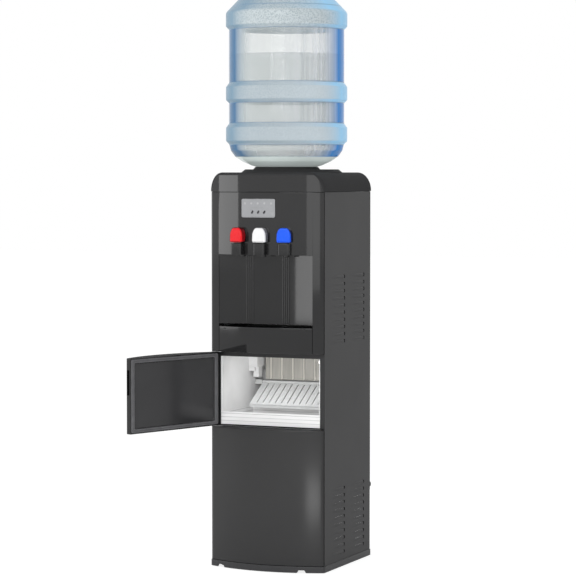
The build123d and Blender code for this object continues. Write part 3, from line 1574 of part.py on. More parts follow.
with BuildPart() as cord_gland:
    with BuildSketch(back_plane.offset(-sheet - gland_flange)):
        with Locations(on_back(*gland_place)):
            RegularPolygon(gland_radius, 6)
    extrude(amount=gland_flange)
    with BuildSketch(back_plane.offset(-sheet)):
        with Locations(on_back(*gland_place)):
            Circle(gland_neck_radius)
    extrude(amount=sheet)
    with BuildSketch(back_plane):
        with Locations(on_back(*gland_place)):
            Circle(gland_radius)
    extrude(amount=gland_flange)
    with BuildSketch(back_plane.offset(gland_flange)):
        with Locations(on_back(*gland_place)):
            Circle(gland_tip_radius)
    extrude(amount=gland_length - gland_flange)
    with BuildSketch(back_plane.offset(-2 * gland_flange)):
        with Locations(on_back(*gland_place)):
            Circle(gland_bore)
    extrude(amount=gland_length + 2 * gland_flange, mode=Mode.SUBTRACT)
save(cord_gland, "cord_gland")

# Two rocker switches in the back panel
with BuildPart() as switch_housings:
    with BuildSketch(back_plane.offset(-switch_depth)):
        with Locations(*[on_back(x, z) for x, z in switch_places]):
            Rectangle(switch_body_width, switch_body_height)
    extrude(amount=switch_depth)
    with BuildSketch(back_plane):
        with Locations(*[on_back(x, z) for x, z in switch_places]):
            RectangleRounded(switch_width, switch_height, switch_flange)
    extrude(amount=switch_flange)
    with BuildSketch(back_plane.offset(wall - switch_depth)):
        with Locations(*[on_back(x, z) for x, z in switch_places]):
            Rectangle(2 * (rocker_half_width + fit_gap), 2 * pocket_half_height)
    extrude(amount=switch_depth + overrun, mode=Mode.SUBTRACT)
    for x, z in switch_places:
        with BuildSketch(Plane.YZ.offset(x)):
            with Locations((half_depth + rocker_pivot_out, z)):
                Circle(rocker_pin_radius + pin_clearance)
        extrude(amount=rocker_half_width + rocker_pin + fit_gap / 3, both=True, mode=Mode.SUBTRACT)
save(switch_housings, "switch_housings")

with BuildSketch() as rocker_plan:
    with BuildLine():
        Polyline(
            (rocker_front, rocker_half_height), (rocker_waist, 0), (rocker_front, -rocker_half_height),
            (-rocker_back / 2, -rocker_half_height / 2), (-rocker_back, 0),
            (-rocker_back / 2, rocker_half_height / 2), close=True,
        )
    make_face()

for name, (x, z) in zip(("cooling", "heating"), switch_places):
    pivot = Plane(origin=(x, half_depth + rocker_pivot_out, z), x_dir=(0, 1, 0), z_dir=(1, 0, 0))
    with BuildPart() as rocker:
        with BuildSketch(pivot):
            add(rocker_plan.sketch, rotation=rocker_throw)
        extrude(amount=rocker_half_width, both=True)
        with BuildSketch(pivot):
            Circle(rocker_pin_radius)
        extrude(amount=rocker_half_width + rocker_pin, both=True)
    save(rocker, f"rocker_{name}")
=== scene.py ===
from math import asin, cos, pi, radians, sin, sqrt, tan
from types import SimpleNamespace as Values

import bmesh
import bpy
from mathutils import Matrix, Vector


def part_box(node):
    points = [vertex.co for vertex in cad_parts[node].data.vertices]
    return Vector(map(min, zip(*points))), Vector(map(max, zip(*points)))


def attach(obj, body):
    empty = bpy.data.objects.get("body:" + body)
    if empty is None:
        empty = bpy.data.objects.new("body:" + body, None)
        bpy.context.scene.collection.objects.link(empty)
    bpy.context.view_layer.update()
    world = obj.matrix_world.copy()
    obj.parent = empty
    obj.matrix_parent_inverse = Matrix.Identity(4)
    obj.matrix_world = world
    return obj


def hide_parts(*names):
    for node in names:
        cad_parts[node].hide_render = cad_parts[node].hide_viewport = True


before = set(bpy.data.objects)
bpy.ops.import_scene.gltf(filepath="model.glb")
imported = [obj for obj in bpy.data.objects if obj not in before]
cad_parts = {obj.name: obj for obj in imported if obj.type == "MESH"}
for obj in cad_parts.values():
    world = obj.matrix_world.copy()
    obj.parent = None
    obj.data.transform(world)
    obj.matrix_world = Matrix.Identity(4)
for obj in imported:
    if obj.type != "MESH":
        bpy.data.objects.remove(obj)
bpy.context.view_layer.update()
print("frame loaded:", len(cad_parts), "nodes")

mm = 0.001
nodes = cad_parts


# ---- shader kit: sums on sockets, and one call for every other node

def signalSum(operation, swapped=False):
    def made(self, other):
        first, second = (other, self) if swapped else (self, other)
        return self.finish.node("ShaderNodeMath", {"operation": operation}, {0: first, 1: second})
    return made


class Signal:
    def __init__(self, finish, socket):
        self.finish, self.socket = finish, socket

    __add__, __radd__ = signalSum("ADD"), signalSum("ADD", True)
    __sub__, __rsub__ = signalSum("SUBTRACT"), signalSum("SUBTRACT", True)
    __mul__, __rmul__ = signalSum("MULTIPLY"), signalSum("MULTIPLY", True)
    __pow__ = signalSum("POWER")
    larger = signalSum("MAXIMUM")


class Finish:
    # lengths in millimetres
    def __init__(self, name, owner=None):
        self.material = owner or bpy.data.materials.new(name)
        self.material.use_nodes = True
        self.tree = self.material.node_tree
        self.tree.nodes.clear()

    def feed(self, socket, value):
        if isinstance(value, Signal):
            self.tree.links.new(value.socket, socket)
        elif isinstance(value, tuple) and len(value) == 3 and socket.type == "RGBA":
            socket.default_value = (*value, 1.0)
        else:
            socket.default_value = value

    def node(self, kind, settings=None, inputs=None, output=0):
        made = self.tree.nodes.new(kind)
        for key, value in (settings or {}).items():
            if key == "stops":
                for element, (place, level) in zip(made.color_ramp.elements, value):
                    element.position = place
                    element.color = (level, level, level, 1.0)
            else:
                setattr(made, key, value)
        for key, value in (inputs or {}).items():
            self.feed(made.inputs[key], value)
        return Signal(self, made.outputs[output]) if made.outputs else None

    def place(self, stretch=(1, 1, 1), turn=(0, 0, 0)):
        spot = self.node("ShaderNodeTexCoord", output="Object")
        return self.node("ShaderNodeMapping", inputs={"Vector": spot, "Scale": stretch, "Rotation": turn})

    def axis(self, name):
        spot = self.node("ShaderNodeTexCoord", output="Object")
        return self.node("ShaderNodeSeparateXYZ", inputs={0: spot}, output=name)

    def noise(self, size, detail=3.0, stretch=(1, 1, 1)):
        return self.node("ShaderNodeTexNoise", {"noise_dimensions": "3D"},
                         {"Vector": self.place(stretch), "Scale": 1 / (size * mm), "Detail": detail})

    def cells(self, size, feature="F1", randomness=1.0, output=0):
        return self.node("ShaderNodeTexVoronoi", {"feature": feature},
                         {"Vector": self.place(), "Scale": 1 / (size * mm), "Randomness": randomness}, output)

    def ramp(self, value, low, high, ends=(0.0, 1.0)):
        return self.node("ShaderNodeValToRGB", {"stops": ((low, ends[0]), (high, ends[1]))}, {0: value})

    def range(self, value, low, high, kind="SMOOTHSTEP"):
        return self.node("ShaderNodeMapRange", {"interpolation_type": kind}, {0: value, 1: low, 2: high})

    def distance(self, value, level):
        return self.node("ShaderNodeMath", {"operation": "ABSOLUTE"}, {0: value - level * mm})

    def facing(self, blend=0.5):
        return self.node("ShaderNodeLayerWeight", inputs={"Blend": blend}, output="Facing")

    def blend(self, first, second, share):
        return self.node("ShaderNodeMix", {"data_type": "RGBA"}, {0: share, 6: first, 7: second}, output=2)

    def shade(self, colour, low, high, share):
        return self.blend(tone(colour, low), tone(colour, high), share)

    def bump(self, height, distance, strength=1.0):
        return self.node("ShaderNodeBump", inputs={"Strength": strength, "Distance": distance * mm, "Height": height})

    def surface(self, **sockets):
        names = {key.replace("_", " "): value for key, value in sockets.items()}
        shader = self.node("ShaderNodeBsdfPrincipled", inputs=names)
        self.node("ShaderNodeOutputMaterial", inputs={"Surface": shader})
        return self.material


def tone(colour, share):
    return tuple(min(1.0, channel * share) for channel in colour)


def grey(level, blue=0.0):
    return (level, level, level + blue)


# ---- finishes

def glossPlastic(name, colour, roughness=0.08, haze=0.05):
    f = Finish(name)
    cloud = f.noise(90, 4.0)
    peel = f.noise(4, 2.0)
    dust = f.ramp(f.noise(0.9, 1.0), 0.7, 0.82)
    return f.surface(
        Base_Color=f.blend(f.shade(colour, 0.9, 1.12, cloud), tone(colour, 1.6), dust * 0.12),
        Roughness=roughness + haze * f.ramp(f.noise(26, 5.0), 0.42, 0.75) + dust * 0.02,
        Normal=f.bump(peel, 0.02, 0.35), IOR=1.5,
    )


def leverPlastic(name, colour, rim):
    # coloured tap lever, with painted shade where its wall turns away from view
    f = Finish(name)
    cloud = f.noise(14, 3.0)
    scuff = f.ramp(f.noise(1.6, 4.0, (1, 1, 0.4)), 0.58, 0.8)
    away = f.facing()
    return f.surface(
        Base_Color=f.blend(f.shade(colour, 0.94, 1.05, cloud), rim, f.ramp(away, 0.24, 0.56)),
        Roughness=0.24 + scuff * 0.12 + cloud * 0.05, Normal=f.bump(scuff, 0.02, 0.3), Specular_IOR_Level=0.28,
    )


def matte(name, colour, roughness=0.75):
    # upward faces of the dark mouldings: fine texture that keeps no glare
    f = Finish(name)
    pits = f.noise(0.8, 2.0)
    cloud = f.noise(80, 3.0)
    return f.surface(
        Base_Color=f.shade(colour, 0.85, 1.15, cloud), Roughness=roughness + (pits - 0.5) * 0.2,
        Normal=f.bump(pits, 0.03, 0.5), Specular_IOR_Level=0.08,
    )


def moulded(name, colour, roughness=0.5, grain=0.7, depth=0.05):
    # spark-textured moulded plastic
    f = Finish(name)
    pits = f.noise(grain, 2.0)
    cloud = f.noise(60, 3.0)
    return f.surface(
        Base_Color=f.blend(f.shade(colour, 0.86, 1.14, cloud), tone(colour, 1.5), f.ramp(pits, 0.6, 0.72) * 0.18),
        Roughness=roughness + (cloud - 0.5) * 0.16, Normal=f.bump(pits, depth, 0.6), IOR=1.48,
    )


sillSteps = {"levels": (358.7, 367.6, 376.5), "half": 1.3, "shade": 0.9}


def steppedWhite(name, colour, roughness):
    # white moulding with a shaded line along each step of its sill
    f = Finish(name)
    v = Values(**sillSteps)
    height, lines = f.axis("Z"), 0.0
    for level in v.levels:
        away = f.distance(height, level) * (1 / (v.half * mm))
        lines = lines + f.ramp(away, 0.0, 1.0, (1.0, 0.0))
    cloud = f.noise(60, 3.0)
    return f.surface(
        Base_Color=f.blend(f.blend(tone(colour, 0.95), colour, cloud), tone(colour, 0.52), lines * v.shade),
        Roughness=roughness + (cloud - 0.5) * 0.12, Normal=f.bump(f.noise(1.1, 2.0), 0.02, 0.5), IOR=1.48,
    )


def enamel(name, colour, roughness=0.42):
    # stoved paint on sheet: fine orange peel, slightly uneven sheen
    f = Finish(name)
    peel = f.noise(2.4, 2.0)
    cloud = f.noise(170, 3.0)
    fleck = f.ramp(f.noise(0.6, 0.0), 0.7, 0.8)
    return f.surface(
        Base_Color=f.blend(f.shade(colour, 0.94, 1.06, cloud), tone(colour, 1.35), fleck * 0.2),
        Roughness=roughness + (cloud - 0.5) * 0.1 + fleck * 0.05, Normal=f.bump(peel, 0.05, 0.4),
        Specular_IOR_Level=0.26,
    )


def brushed(name, colour, roughness=0.32, along=(1, 1, 0.03)):
    f = Finish(name)
    lines = f.noise(0.5, 2.0, along)
    cloud = f.noise(40, 3.0)
    return f.surface(
        Base_Color=f.shade(colour, 0.82, 1.1, lines), Metallic=1.0,
        Roughness=roughness + (lines - 0.5) * 0.18 + (cloud - 0.5) * 0.1, Normal=f.bump(lines, 0.02, 0.5),
    )


def zinc(name, colour):
    # galvanised sheet with a faint spangle
    f = Finish(name)
    level = f.node("ShaderNodeRGBToBW", inputs={0: f.cells(11, output="Color")})
    return f.surface(
        Base_Color=f.shade(colour, 0.8, 1.12, level), Metallic=0.85, Roughness=0.34 + level * 0.16,
        Normal=f.bump(f.noise(1.5), 0.02, 0.4),
    )


def rubber(name, colour):
    f = Finish(name)
    pits = f.noise(0.8, 3.0)
    bloom = f.noise(18, 4.0)
    return f.surface(Base_Color=f.blend(colour, tone(colour, 1.8), f.ramp(bloom, 0.45, 0.85) * 0.5),
                     Roughness=0.72 + (pits - 0.5) * 0.2, Normal=f.bump(pits, 0.06, 0.7))


def foam(name, colour, size):
    f = Finish(name)
    beads = f.cells(size)
    return f.surface(Base_Color=f.blend(colour, tone(colour, 0.72), f.ramp(beads, 0.35, 0.75)), Roughness=0.85,
                     Normal=f.bump(1 - beads, 0.5, 0.7))


def clouded(name, colour, alpha=1.0, roughness=0.3):
    # milky injection-moulded plastic of the ice maker
    f = Finish(name)
    flow = f.noise(22, 4.0, (1, 1, 2.5))
    frost = f.noise(0.9, 2.0)
    return f.surface(
        Base_Color=f.shade(colour, 0.9, 1.08, flow), Roughness=roughness + flow * 0.12,
        Normal=f.bump(frost, 0.04, 0.5), Alpha=alpha, IOR=1.49,
        Subsurface_Weight=0.15, Subsurface_Radius=(0.006, 0.006, 0.006),
    )


ribLightAndShade = {"first": -83.0, "pitch": 30.0, "half": 2.7}


def ribbedBox(name, colour):
    # the same plastic, with a painted highlight along the upright ribs and painted shade beside them
    f = Finish(name)
    v = Values(**ribLightAndShade)
    shift = f.axis("X") - v.first * mm
    away = f.node("ShaderNodeMath", {"operation": "PINGPONG"}, {0: shift, 1: v.pitch / 2 * mm})
    rib = f.range(away, v.half * mm, v.half * 0.7 * mm, "LINEAR")
    besideShade = f.range(away, v.half * 2.0 * mm, v.half * mm, "LINEAR")
    flow = f.noise(18, 4.0, (1, 1, 0.15))
    frost = f.noise(0.9, 2.0)
    base = f.shade(colour, 0.82, 1.16, f.ramp(flow, 0.3, 0.7))
    base = f.blend(base, tone(colour, 0.55), besideShade * 0.7)
    base = f.blend(base, tone(colour, 1.5), rib)
    return f.surface(Base_Color=base, Roughness=0.3 + flow * 0.12, Normal=f.bump(frost, 0.04, 0.5))


def glowing(name, colour, strength):
    f = Finish(name)
    tint = f.blend(tone(colour, 0.92), colour, f.noise(3, 1.0))
    return f.surface(Base_Color=tint, Roughness=0.3, Emission_Color=tint, Emission_Strength=strength)


def circuit(name):
    f = Finish(name)
    tracks = f.node("ShaderNodeTexBrick", {"offset": 0.5}, {
        "Vector": f.place(turn=(pi / 2, 0, 0)), "Color1": (0.01, 0.12, 0.04), "Color2": (0.02, 0.2, 0.07),
        "Mortar": (0.05, 0.3, 0.12), "Scale": 1 / (6 * mm), "Mortar Size": 0.06,
    })
    return f.surface(Base_Color=tracks, Roughness=0.35, Normal=f.bump(f.noise(1.2), 0.05, 0.4))


bottleFinish = {
    "clear": (0.70, 0.75, 0.73), "gleam": (0.95, 0.97, 0.98), "edge": (0.01, 0.21, 0.60), "dimEdge": (0.05, 0.15, 0.29),
    "frosted": (0.46, 0.535, 0.56), "calmBand": (0.58, 0.67, 0.72), "shadeBand": (0.39, 0.47, 0.52),
    "bandEdge": (0.24, 0.62, 0.96), "bandDim": (0.10, 0.22, 0.33), "line": (0.06, 0.15, 0.27),
    "foot": (0.70, 0.78, 0.76), "clearAlpha": 0.16, "edgeAlpha": 0.76, "dryAlpha": 0.16, "frostAlpha": 0.76,
    "footAlpha": 0.66, "footGlow": 0.26, "frostGlow": 0.42, "bands": ((1034, 1087), (1136, 1186.5), (1315, 1394)),
    "bandFade": 1.5, "bandLast": 1372.0, "roughBand": (1300.0, 1310.0), "lineWide": 2.6, "pebble": 2.8,
    "footTop": 1004.5, "water": 1254.5, "middle": -32.0, "sideTurn": 23.5,
}


def bottlePlastic(name):
    # clear blue wall, pebbled bands, deeper colour where the wall is seen along its length
    f = Finish(name)
    v = Values(**bottleFinish)
    height = f.axis("Z")

    def above(level, fade=v.bandFade):
        return f.range(height, (level - fade) * mm, (level + fade) * mm)

    frosted, lines = 0.0, 0.0
    for low, high in v.bands:
        frosted = frosted + above(low) * above(high, -v.bandFade)
        # painted shade: a dark line along the shoulders at the low and high edge of each band
        for level in (low, min(high, v.bandLast)):
            lines = lines + f.range(f.distance(height, level), v.lineWide * mm, 0.0)
    turn = radians(v.sideTurn)
    across = f.axis("X") * cos(turn) + (f.axis("Y") - v.middle * mm) * sin(turn)
    bright = f.range(across, -0.05, 0.09)  # the side towards the light is the bluer one
    dry = above(v.water)
    rim = f.ramp(f.facing(), 0.16, 0.56) ** 1.7
    foot = above(v.footTop, -v.bandFade)
    pebbles = f.cells(v.pebble, "SMOOTH_F1", 0.9)
    streak = f.ramp(f.noise(13, 3.0, (1, 1, 0.02)), 0.35, 0.65)
    ripple = f.noise(46, 2.0, (1, 1, 0.35))
    edge = f.blend(v.dimEdge, v.edge, bright)
    gleam = streak * bright
    glass = f.blend(f.blend(v.clear, v.gleam, gleam * 0.8 + streak * 0.1), edge, rim)
    coarse = f.range(height, v.roughBand[0] * mm, v.roughBand[1] * mm)  # the uppermost band is the roughest one
    speckle = 0.5 + (f.ramp(pebbles, 0.15, 0.6) - 0.5) * (0.5 + coarse * 0.9)
    calm = f.blend(f.blend(v.shadeBand, v.calmBand, bright), v.frosted, coarse)
    frost = f.blend(f.blend(calm, grey(0.0), 0.3), f.blend(calm, grey(1.0), 0.25), speckle)
    frost = f.blend(frost, f.blend(v.bandDim, v.bandEdge, bright), rim * 0.85)
    base = f.blend(f.blend(f.blend(glass, frost, frosted), v.line, lines * 0.6), v.foot, foot)
    roughness = 0.05 + frosted * 0.22 + ripple * 0.03
    alpha = (1 - frosted) * (v.clearAlpha + streak * 0.03 + gleam * 0.12 + rim * (v.edgeAlpha + dry * v.dryAlpha))
    alpha = alpha + frosted * (v.frostAlpha + rim * 0.2 - pebbles * 0.16) + lines * 0.14 + foot * v.footAlpha
    return f.surface(
        Base_Color=base, Roughness=roughness, Alpha=alpha, Specular_IOR_Level=0.2,
        Normal=f.bump(pebbles * frosted * -1.0 + ripple * (1 - frosted) * 0.35, 1.1, 0.8),
        # painted light: the foot and the pebbled bands glow faintly, standing in for light let through the bottle
        Emission_Color=f.blend(f.blend(grey(0.0), tone(v.frosted, v.frostGlow), frosted), v.foot, foot),
        Emission_Strength=v.footGlow,
    )


def stillWater(name):
    f = Finish(name)
    rim = f.facing(0.4)
    swirl = f.noise(70, 2.0)
    tint = f.blend((0.46, 0.53, 0.53), (0.26, 0.40, 0.50), f.ramp(rim, 0.3, 0.8))
    return f.surface(
        Base_Color=tint, Roughness=0.03 + swirl * 0.02, Alpha=0.30 + swirl * 0.05 + rim * 0.16,
        Normal=f.bump(f.noise(50, 1.0), 0.2, 0.4), IOR=1.33,
    )


finishes = {
    "glossBlack": glossPlastic("gloss_black", grey(0.012, 0.0005), 0.05, 0.02),
    "satinBlack": glossPlastic("satin_black", grey(0.0128, 0.0005), 0.21, 0.012),
    "matteTop": matte("matte_top", grey(0.031, 0.001)),
    "baseBlack": moulded("base_black", grey(0.022, 0.002), 0.42, 0.9),
    "frameBlack": moulded("frame_black", grey(0.014, 0.001), 0.32, 0.6, 0.03),
    "sideEnamel": enamel("side_enamel", grey(0.0255, 0.001), 0.46),
    "doorPanel": moulded("door_panel", grey(0.022, 0.0015), 0.17, 0.8, 0.006),
    "gasket": rubber("gasket_rubber", grey(0.085, 0.005)),
    "footRubber": rubber("foot_rubber", grey(0.02)),
    "hingeSteel": brushed("hinge_steel", grey(0.5, 0.01)),
    "binWhite": steppedWhite("bin_white", grey(0.91), 0.4),
    "linerWhite": moulded("liner_white", grey(0.88), 0.38, 1.1, 0.02),
    "foam": foam("cast_foam", (0.72, 0.62, 0.36), 1.6),
    "beadFoam": foam("bead_foam", grey(0.84), 4.0),
    "iceBox": ribbedBox("ice_box", (0.47, 0.455, 0.415)),
    "icePlate": clouded("ice_plate", (0.77, 0.78, 0.78), roughness=0.34),
    "icePart": clouded("ice_part", (0.66, 0.67, 0.66)),
    "motorGrey": moulded("motor_grey", (0.42, 0.43, 0.43), 0.45),
    "nickel": brushed("nickel", (0.62, 0.61, 0.58), 0.22),
    "lampGlow": glowing("lamp_glow", grey(1.0), 2.2),
    "bezelSilver": glossPlastic("bezel_silver", (0.275, 0.28, 0.29), 0.24, 0.05),
    "bezelIcon": glossPlastic("bezel_icon", (0.36, 0.365, 0.375), 0.24, 0.05),
    "buttonDark": glossPlastic("button_dark", grey(0.03, 0.004), 0.18),
    "leverRed": leverPlastic("lever_red", (0.66, 0.003, 0.009), (0.07, 0.002, 0.005)),
    "leverWhite": leverPlastic("lever_white", grey(0.74), grey(0.20, 0.01)),
    "leverBlue": leverPlastic("lever_blue", (0.004, 0.09, 0.76), (0.003, 0.008, 0.10)),
    "board": circuit("board_green"),
    "zinc": zinc("zinc_sheet", (0.56, 0.57, 0.58)),
    "backZinc": enamel("back_sheet", grey(0.09, 0.005), 0.5),
    "steel": brushed("tank_steel", grey(0.6), 0.28, (0.03, 0.03, 1)),
    "aluminium": brushed("heater_aluminium", grey(0.7, 0.01), 0.36),
    "silicone": clouded("silicone", (0.72, 0.72, 0.68), 0.8, 0.4),
    "blackPaint": enamel("black_paint", grey(0.012), 0.34),
    "drainBlack": moulded("drain_black", grey(0.018), 0.5),
    "switchBlack": moulded("switch_black", grey(0.012), 0.4),
    "capBlue": moulded("cap_blue", (0.12, 0.3, 0.66), 0.4),
    "bottle": bottlePlastic("bottle_blue"),
    "water": stillWater("still_water"),
}
print("finishes made:", len(finishes))


# ---- mesh kit

def added(name, mesh):
    made = bpy.data.objects.new(name, mesh)
    bpy.context.scene.collection.objects.link(made)
    return made


def meshObject(name, points, faces):
    mesh = bpy.data.meshes.new(name)
    mesh.from_pydata([tuple(p) for p in points], [], faces)
    return tidyMesh(added(name, mesh))


def worked(made, *jobs):
    # runs bmesh jobs on the mesh of a piece
    work = bmesh.new()
    work.from_mesh(made.data)
    for job in jobs:
        job(work)
    work.to_mesh(made.data)
    work.free()
    return made


def merged(reach):
    return lambda work: bmesh.ops.remove_doubles(work, verts=work.verts, dist=reach)


def flattened(angle):
    return lambda work: bmesh.ops.dissolve_limit(work, angle_limit=radians(angle), verts=work.verts, edges=work.edges)


def tidyMesh(made, reach=0.5e-6):
    return worked(made, merged(reach), lambda work: bmesh.ops.recalc_face_normals(work, faces=work.faces))


def applied(made):
    # bakes the modifiers into a plain mesh
    graph = bpy.context.evaluated_depsgraph_get()
    graph.update()
    plain = bpy.data.meshes.new_from_object(made.evaluated_get(graph))
    made.modifiers.clear()
    old = made.data
    made.data = plain
    bpy.data.meshes.remove(old)
    return made


def convex(made):
    # faces that double back or ring a hole are split, so a bevel keeps them flat
    return worked(made, lambda work: bmesh.ops.connect_verts_concave(work, faces=work.faces))


def rounded(made, width, segments=2, angle=40.0, clamped=False):
    convex(made)
    edge = made.modifiers.new("edges", "BEVEL")
    edge.width = width * mm
    edge.segments = segments
    edge.limit_method = "ANGLE"
    edge.angle_limit = radians(angle)
    edge.use_clamp_overlap = clamped
    return applied(made)


def drop(made):
    mesh = made.data
    bpy.data.objects.remove(made)
    bpy.data.meshes.remove(mesh)


def cut(made, *cutters):
    for cutter in cutters:
        knife = made.modifiers.new("cut", "BOOLEAN")
        knife.operation = "DIFFERENCE"
        knife.solver = "EXACT"
        knife.object = cutter
        applied(made)
        drop(cutter)
    return made


def joined(name, *parts):
    mesh = bpy.data.meshes.new(name)
    work = bmesh.new()
    for part in parts:
        work.from_mesh(part.data)
    work.to_mesh(mesh)
    work.free()
    for part in parts:
        drop(part)
    return added(name, mesh)


def moved(made, matrix):
    made.data.transform(matrix)
    if matrix.determinant() < 0:
        made.data.flip_normals()
    return made


def dressed(made, finish, node=None, body="cabinet", smooth=38.0, matteWhere=None):
    mesh = made.data
    mesh.materials.clear()
    mesh.materials.append(finishes[finish])
    if matteWhere:
        mesh.materials.append(finishes["matteTop"])
    for face in mesh.polygons:
        face.material_index = 1 if matteWhere and matteWhere(face.normal) else 0
    mesh.shade_smooth()
    mesh.set_sharp_from_angle(angle=radians(smooth))
    flat = made.modifiers.new("flat", "WEIGHTED_NORMAL")
    flat.keep_sharp = True
    applied(made)
    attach(made, body)
    if node:
        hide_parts(node)
    return made


def facesUp(normal):
    return normal.z > 0.3


def coverMatte(normal):
    # the glossy front of the cover ends where it turns to its shoulders and its top
    return normal.z > 0.02 or abs(normal.x) > 0.62


def loft(name, rings, capped=True, looped=False):
    # skins equal rings of points; looped joins the last ring to the first
    count = len(rings[0])
    points = [p for ring in rings for p in ring]
    faces = []
    for row in range(len(rings) if looped else len(rings) - 1):
        low, high = row * count, (row + 1) % len(rings) * count
        for i in range(count):
            j = (i + 1) % count
            faces.append((low + i, low + j, high + j, high + i))
    if capped and not looped:
        faces.append(tuple(range(count)))
        faces.append(tuple(range(len(points) - count, len(points))))
    return meshObject(name, points, faces)


def level(points, height):
    # a flat outline in millimetres as a ring at a height
    return [(x * mm, y * mm, height * mm) for x, y in points]


def circle(radius, sides):
    return [(radius * cos(2 * pi * k / sides), radius * sin(2 * pi * k / sides)) for k in range(sides)]


def quarter(steps, first=0):
    return [pi / 2 * k / steps for k in range(first, steps + 1)]


def box(name, low, high):
    (a, b, c), (d, e, f) = low, high
    return loft(name, [level([(a, b), (d, b), (d, e), (a, e)], z) for z in (c, f)])


def rod(name, start, end, radius, sides=32):
    start, end = Vector(start) * mm, Vector(end) * mm
    along = (end - start).normalized()
    side = along.orthogonal().normalized()
    other = along.cross(side)
    rings = [[at + (side * cos(2 * pi * k / sides) + other * sin(2 * pi * k / sides)) * radius * mm
              for k in range(sides)] for at in (start, end)]
    return loft(name, rings)


def turned(name, profile, middle=0.0, sides=128, closed=True):
    # a profile of radius and height, turned about an upright axis
    rings = [level([(x, middle + y) for x, y in circle(radius, sides)], height) for radius, height in profile]
    return loft(name, rings, capped=False, looped=closed)


def eased(points, radii, steps=6, closed=False):
    # a polyline with its corners rounded by arcs
    out = []
    last = len(points) - 1
    for i, (point, radius) in enumerate(zip(points, radii)):
        reach = 0.0
        if radius > 0 and (closed or i not in (0, last)):
            here = Vector(point)
            back, ahead = Vector(points[i - 1]) - here, Vector(points[(i + 1) % len(points)]) - here
            turn = back.angle(ahead)
            if turn < pi - 1e-4:
                reach = radius / max(1e-6, sin(turn / 2) / cos(turn / 2))
            reach = min(reach, back.length * 0.49, ahead.length * 0.49)
        if reach <= 0:
            out.append(tuple(point))
            continue
        first, second = here + back.normalized() * reach, here + ahead.normalized() * reach
        for step in range(steps + 1):
            t = step / steps
            out.append(tuple(first * (1 - t) ** 2 + here * 2 * t * (1 - t) + second * t ** 2))
    return out


def shifted(points, amount):
    # moves an open outline to its left by an amount, corner by corner
    out = []
    last = len(points) - 1
    for i, point in enumerate(points):
        before, after = points[max(0, i - 1)], points[min(last, i + 1)]
        a = Vector((point[0] - before[0], point[1] - before[1]))
        b = Vector((after[0] - point[0], after[1] - point[1]))
        a = a if a.length > 1e-9 else b
        b = b if b.length > 1e-9 else a
        a, b = a.normalized(), b.normalized()
        n = Vector((-a.y - b.y, a.x + b.x))
        n = n.normalized() / max(0.35, n.length / 2)
        out.append((point[0] + n.x * amount, point[1] + n.y * amount))
    return out


def softened(node, finish, slotName, width=0.5, body="cabinet", name=None, segments=2):
    # a detailed piece from a plain node: flat faces merged, edges rounded
    first, *rest = node.split("_")
    made = added(name or first + "".join(word.capitalize() for word in rest), nodes[node].data.copy())
    worked(made, merged(2e-6), flattened(0.4))
    if width > 0:
        rounded(made, width, segments)
    return dressed(made, finish, node, body)


# ---- repeats: one tree of geometry nodes sets a piece out on two steps

def repeatTree():
    tree = bpy.data.node_groups.new("set_out_piece", "GeometryNodeTree")
    sockets = {}
    for name, kind in (("Piece", "Object"), ("Start", "Vector"), ("Step", "Vector"), ("Count", "Int"),
                       ("Row Step", "Vector"), ("Rows", "Int"), ("Finish", "Material")):
        made = tree.interface.new_socket(name, in_out="INPUT", socket_type="NodeSocket" + kind)
        sockets[name] = made.identifier
    tree.interface.new_socket("Geometry", in_out="OUTPUT", socket_type="NodeSocketGeometry")

    def put(kind, feeds, **settings):
        made = tree.nodes.new(kind)
        for key, value in settings.items():
            setattr(made, key, value)
        for key, source in feeds.items():
            tree.links.new(source, made.inputs[key])
        return made.outputs

    given = put("NodeGroupInput", {})
    rows = put("GeometryNodeMeshLine", {"Start Location": given["Start"], "Offset": given["Row Step"],
                                        "Count": given["Rows"]}, mode="OFFSET")
    line = put("GeometryNodeMeshLine", {"Offset": given["Step"], "Count": given["Count"]}, mode="OFFSET")
    grid = put("GeometryNodeInstanceOnPoints", {"Points": rows[0], "Instance": line[0]})
    spots = put("GeometryNodeRealizeInstances", {0: grid[0]})
    info = put("GeometryNodeObjectInfo", {"Object": given["Piece"]}, transform_space="ORIGINAL")
    pieces = put("GeometryNodeInstanceOnPoints", {"Points": spots[0], "Instance": info["Geometry"]})
    real = put("GeometryNodeRealizeInstances", {0: pieces[0]})
    paint = put("GeometryNodeSetMaterial", {"Geometry": real[0], "Material": given["Finish"]})
    put("NodeGroupOutput", {0: paint[0]})
    return tree, sockets


setOut, setOutSockets = repeatTree()


def repeated(name, piece, finish, start, step, count, rowStep=(0, 0, 0), rows=1, kept=False):
    # start and steps in millimetres; the piece is drawn about the origin
    holder = added(name, bpy.data.meshes.new(name))
    work = holder.modifiers.new("repeat", "NODES")
    work.node_group = setOut
    values = {"Piece": piece, "Start": Vector(start) * mm, "Step": Vector(step) * mm, "Count": count,
              "Row Step": Vector(rowStep) * mm, "Rows": rows, "Finish": finishes[finish]}
    for key, value in values.items():
        work[setOutSockets[key]] = value
    applied(holder)
    if not kept:
        drop(piece)
    return holder


# ---- the bowed front, shared by every front moulding

cabinet = {
    "halfWidth": 150.0, "halfDepth": 150.0, "bulge": 34.0, "mouldingHalf": 148.5, "mouldingBack": -131.6,
    "corner": 9.0, "wall": 2.5, "bowSteps": 72, "cornerSteps": 8,
}
bowRadius = (cabinet["halfWidth"] ** 2 + cabinet["bulge"] ** 2) / (2 * cabinet["bulge"])
bowCentre = -cabinet["halfDepth"] - cabinet["bulge"] + bowRadius


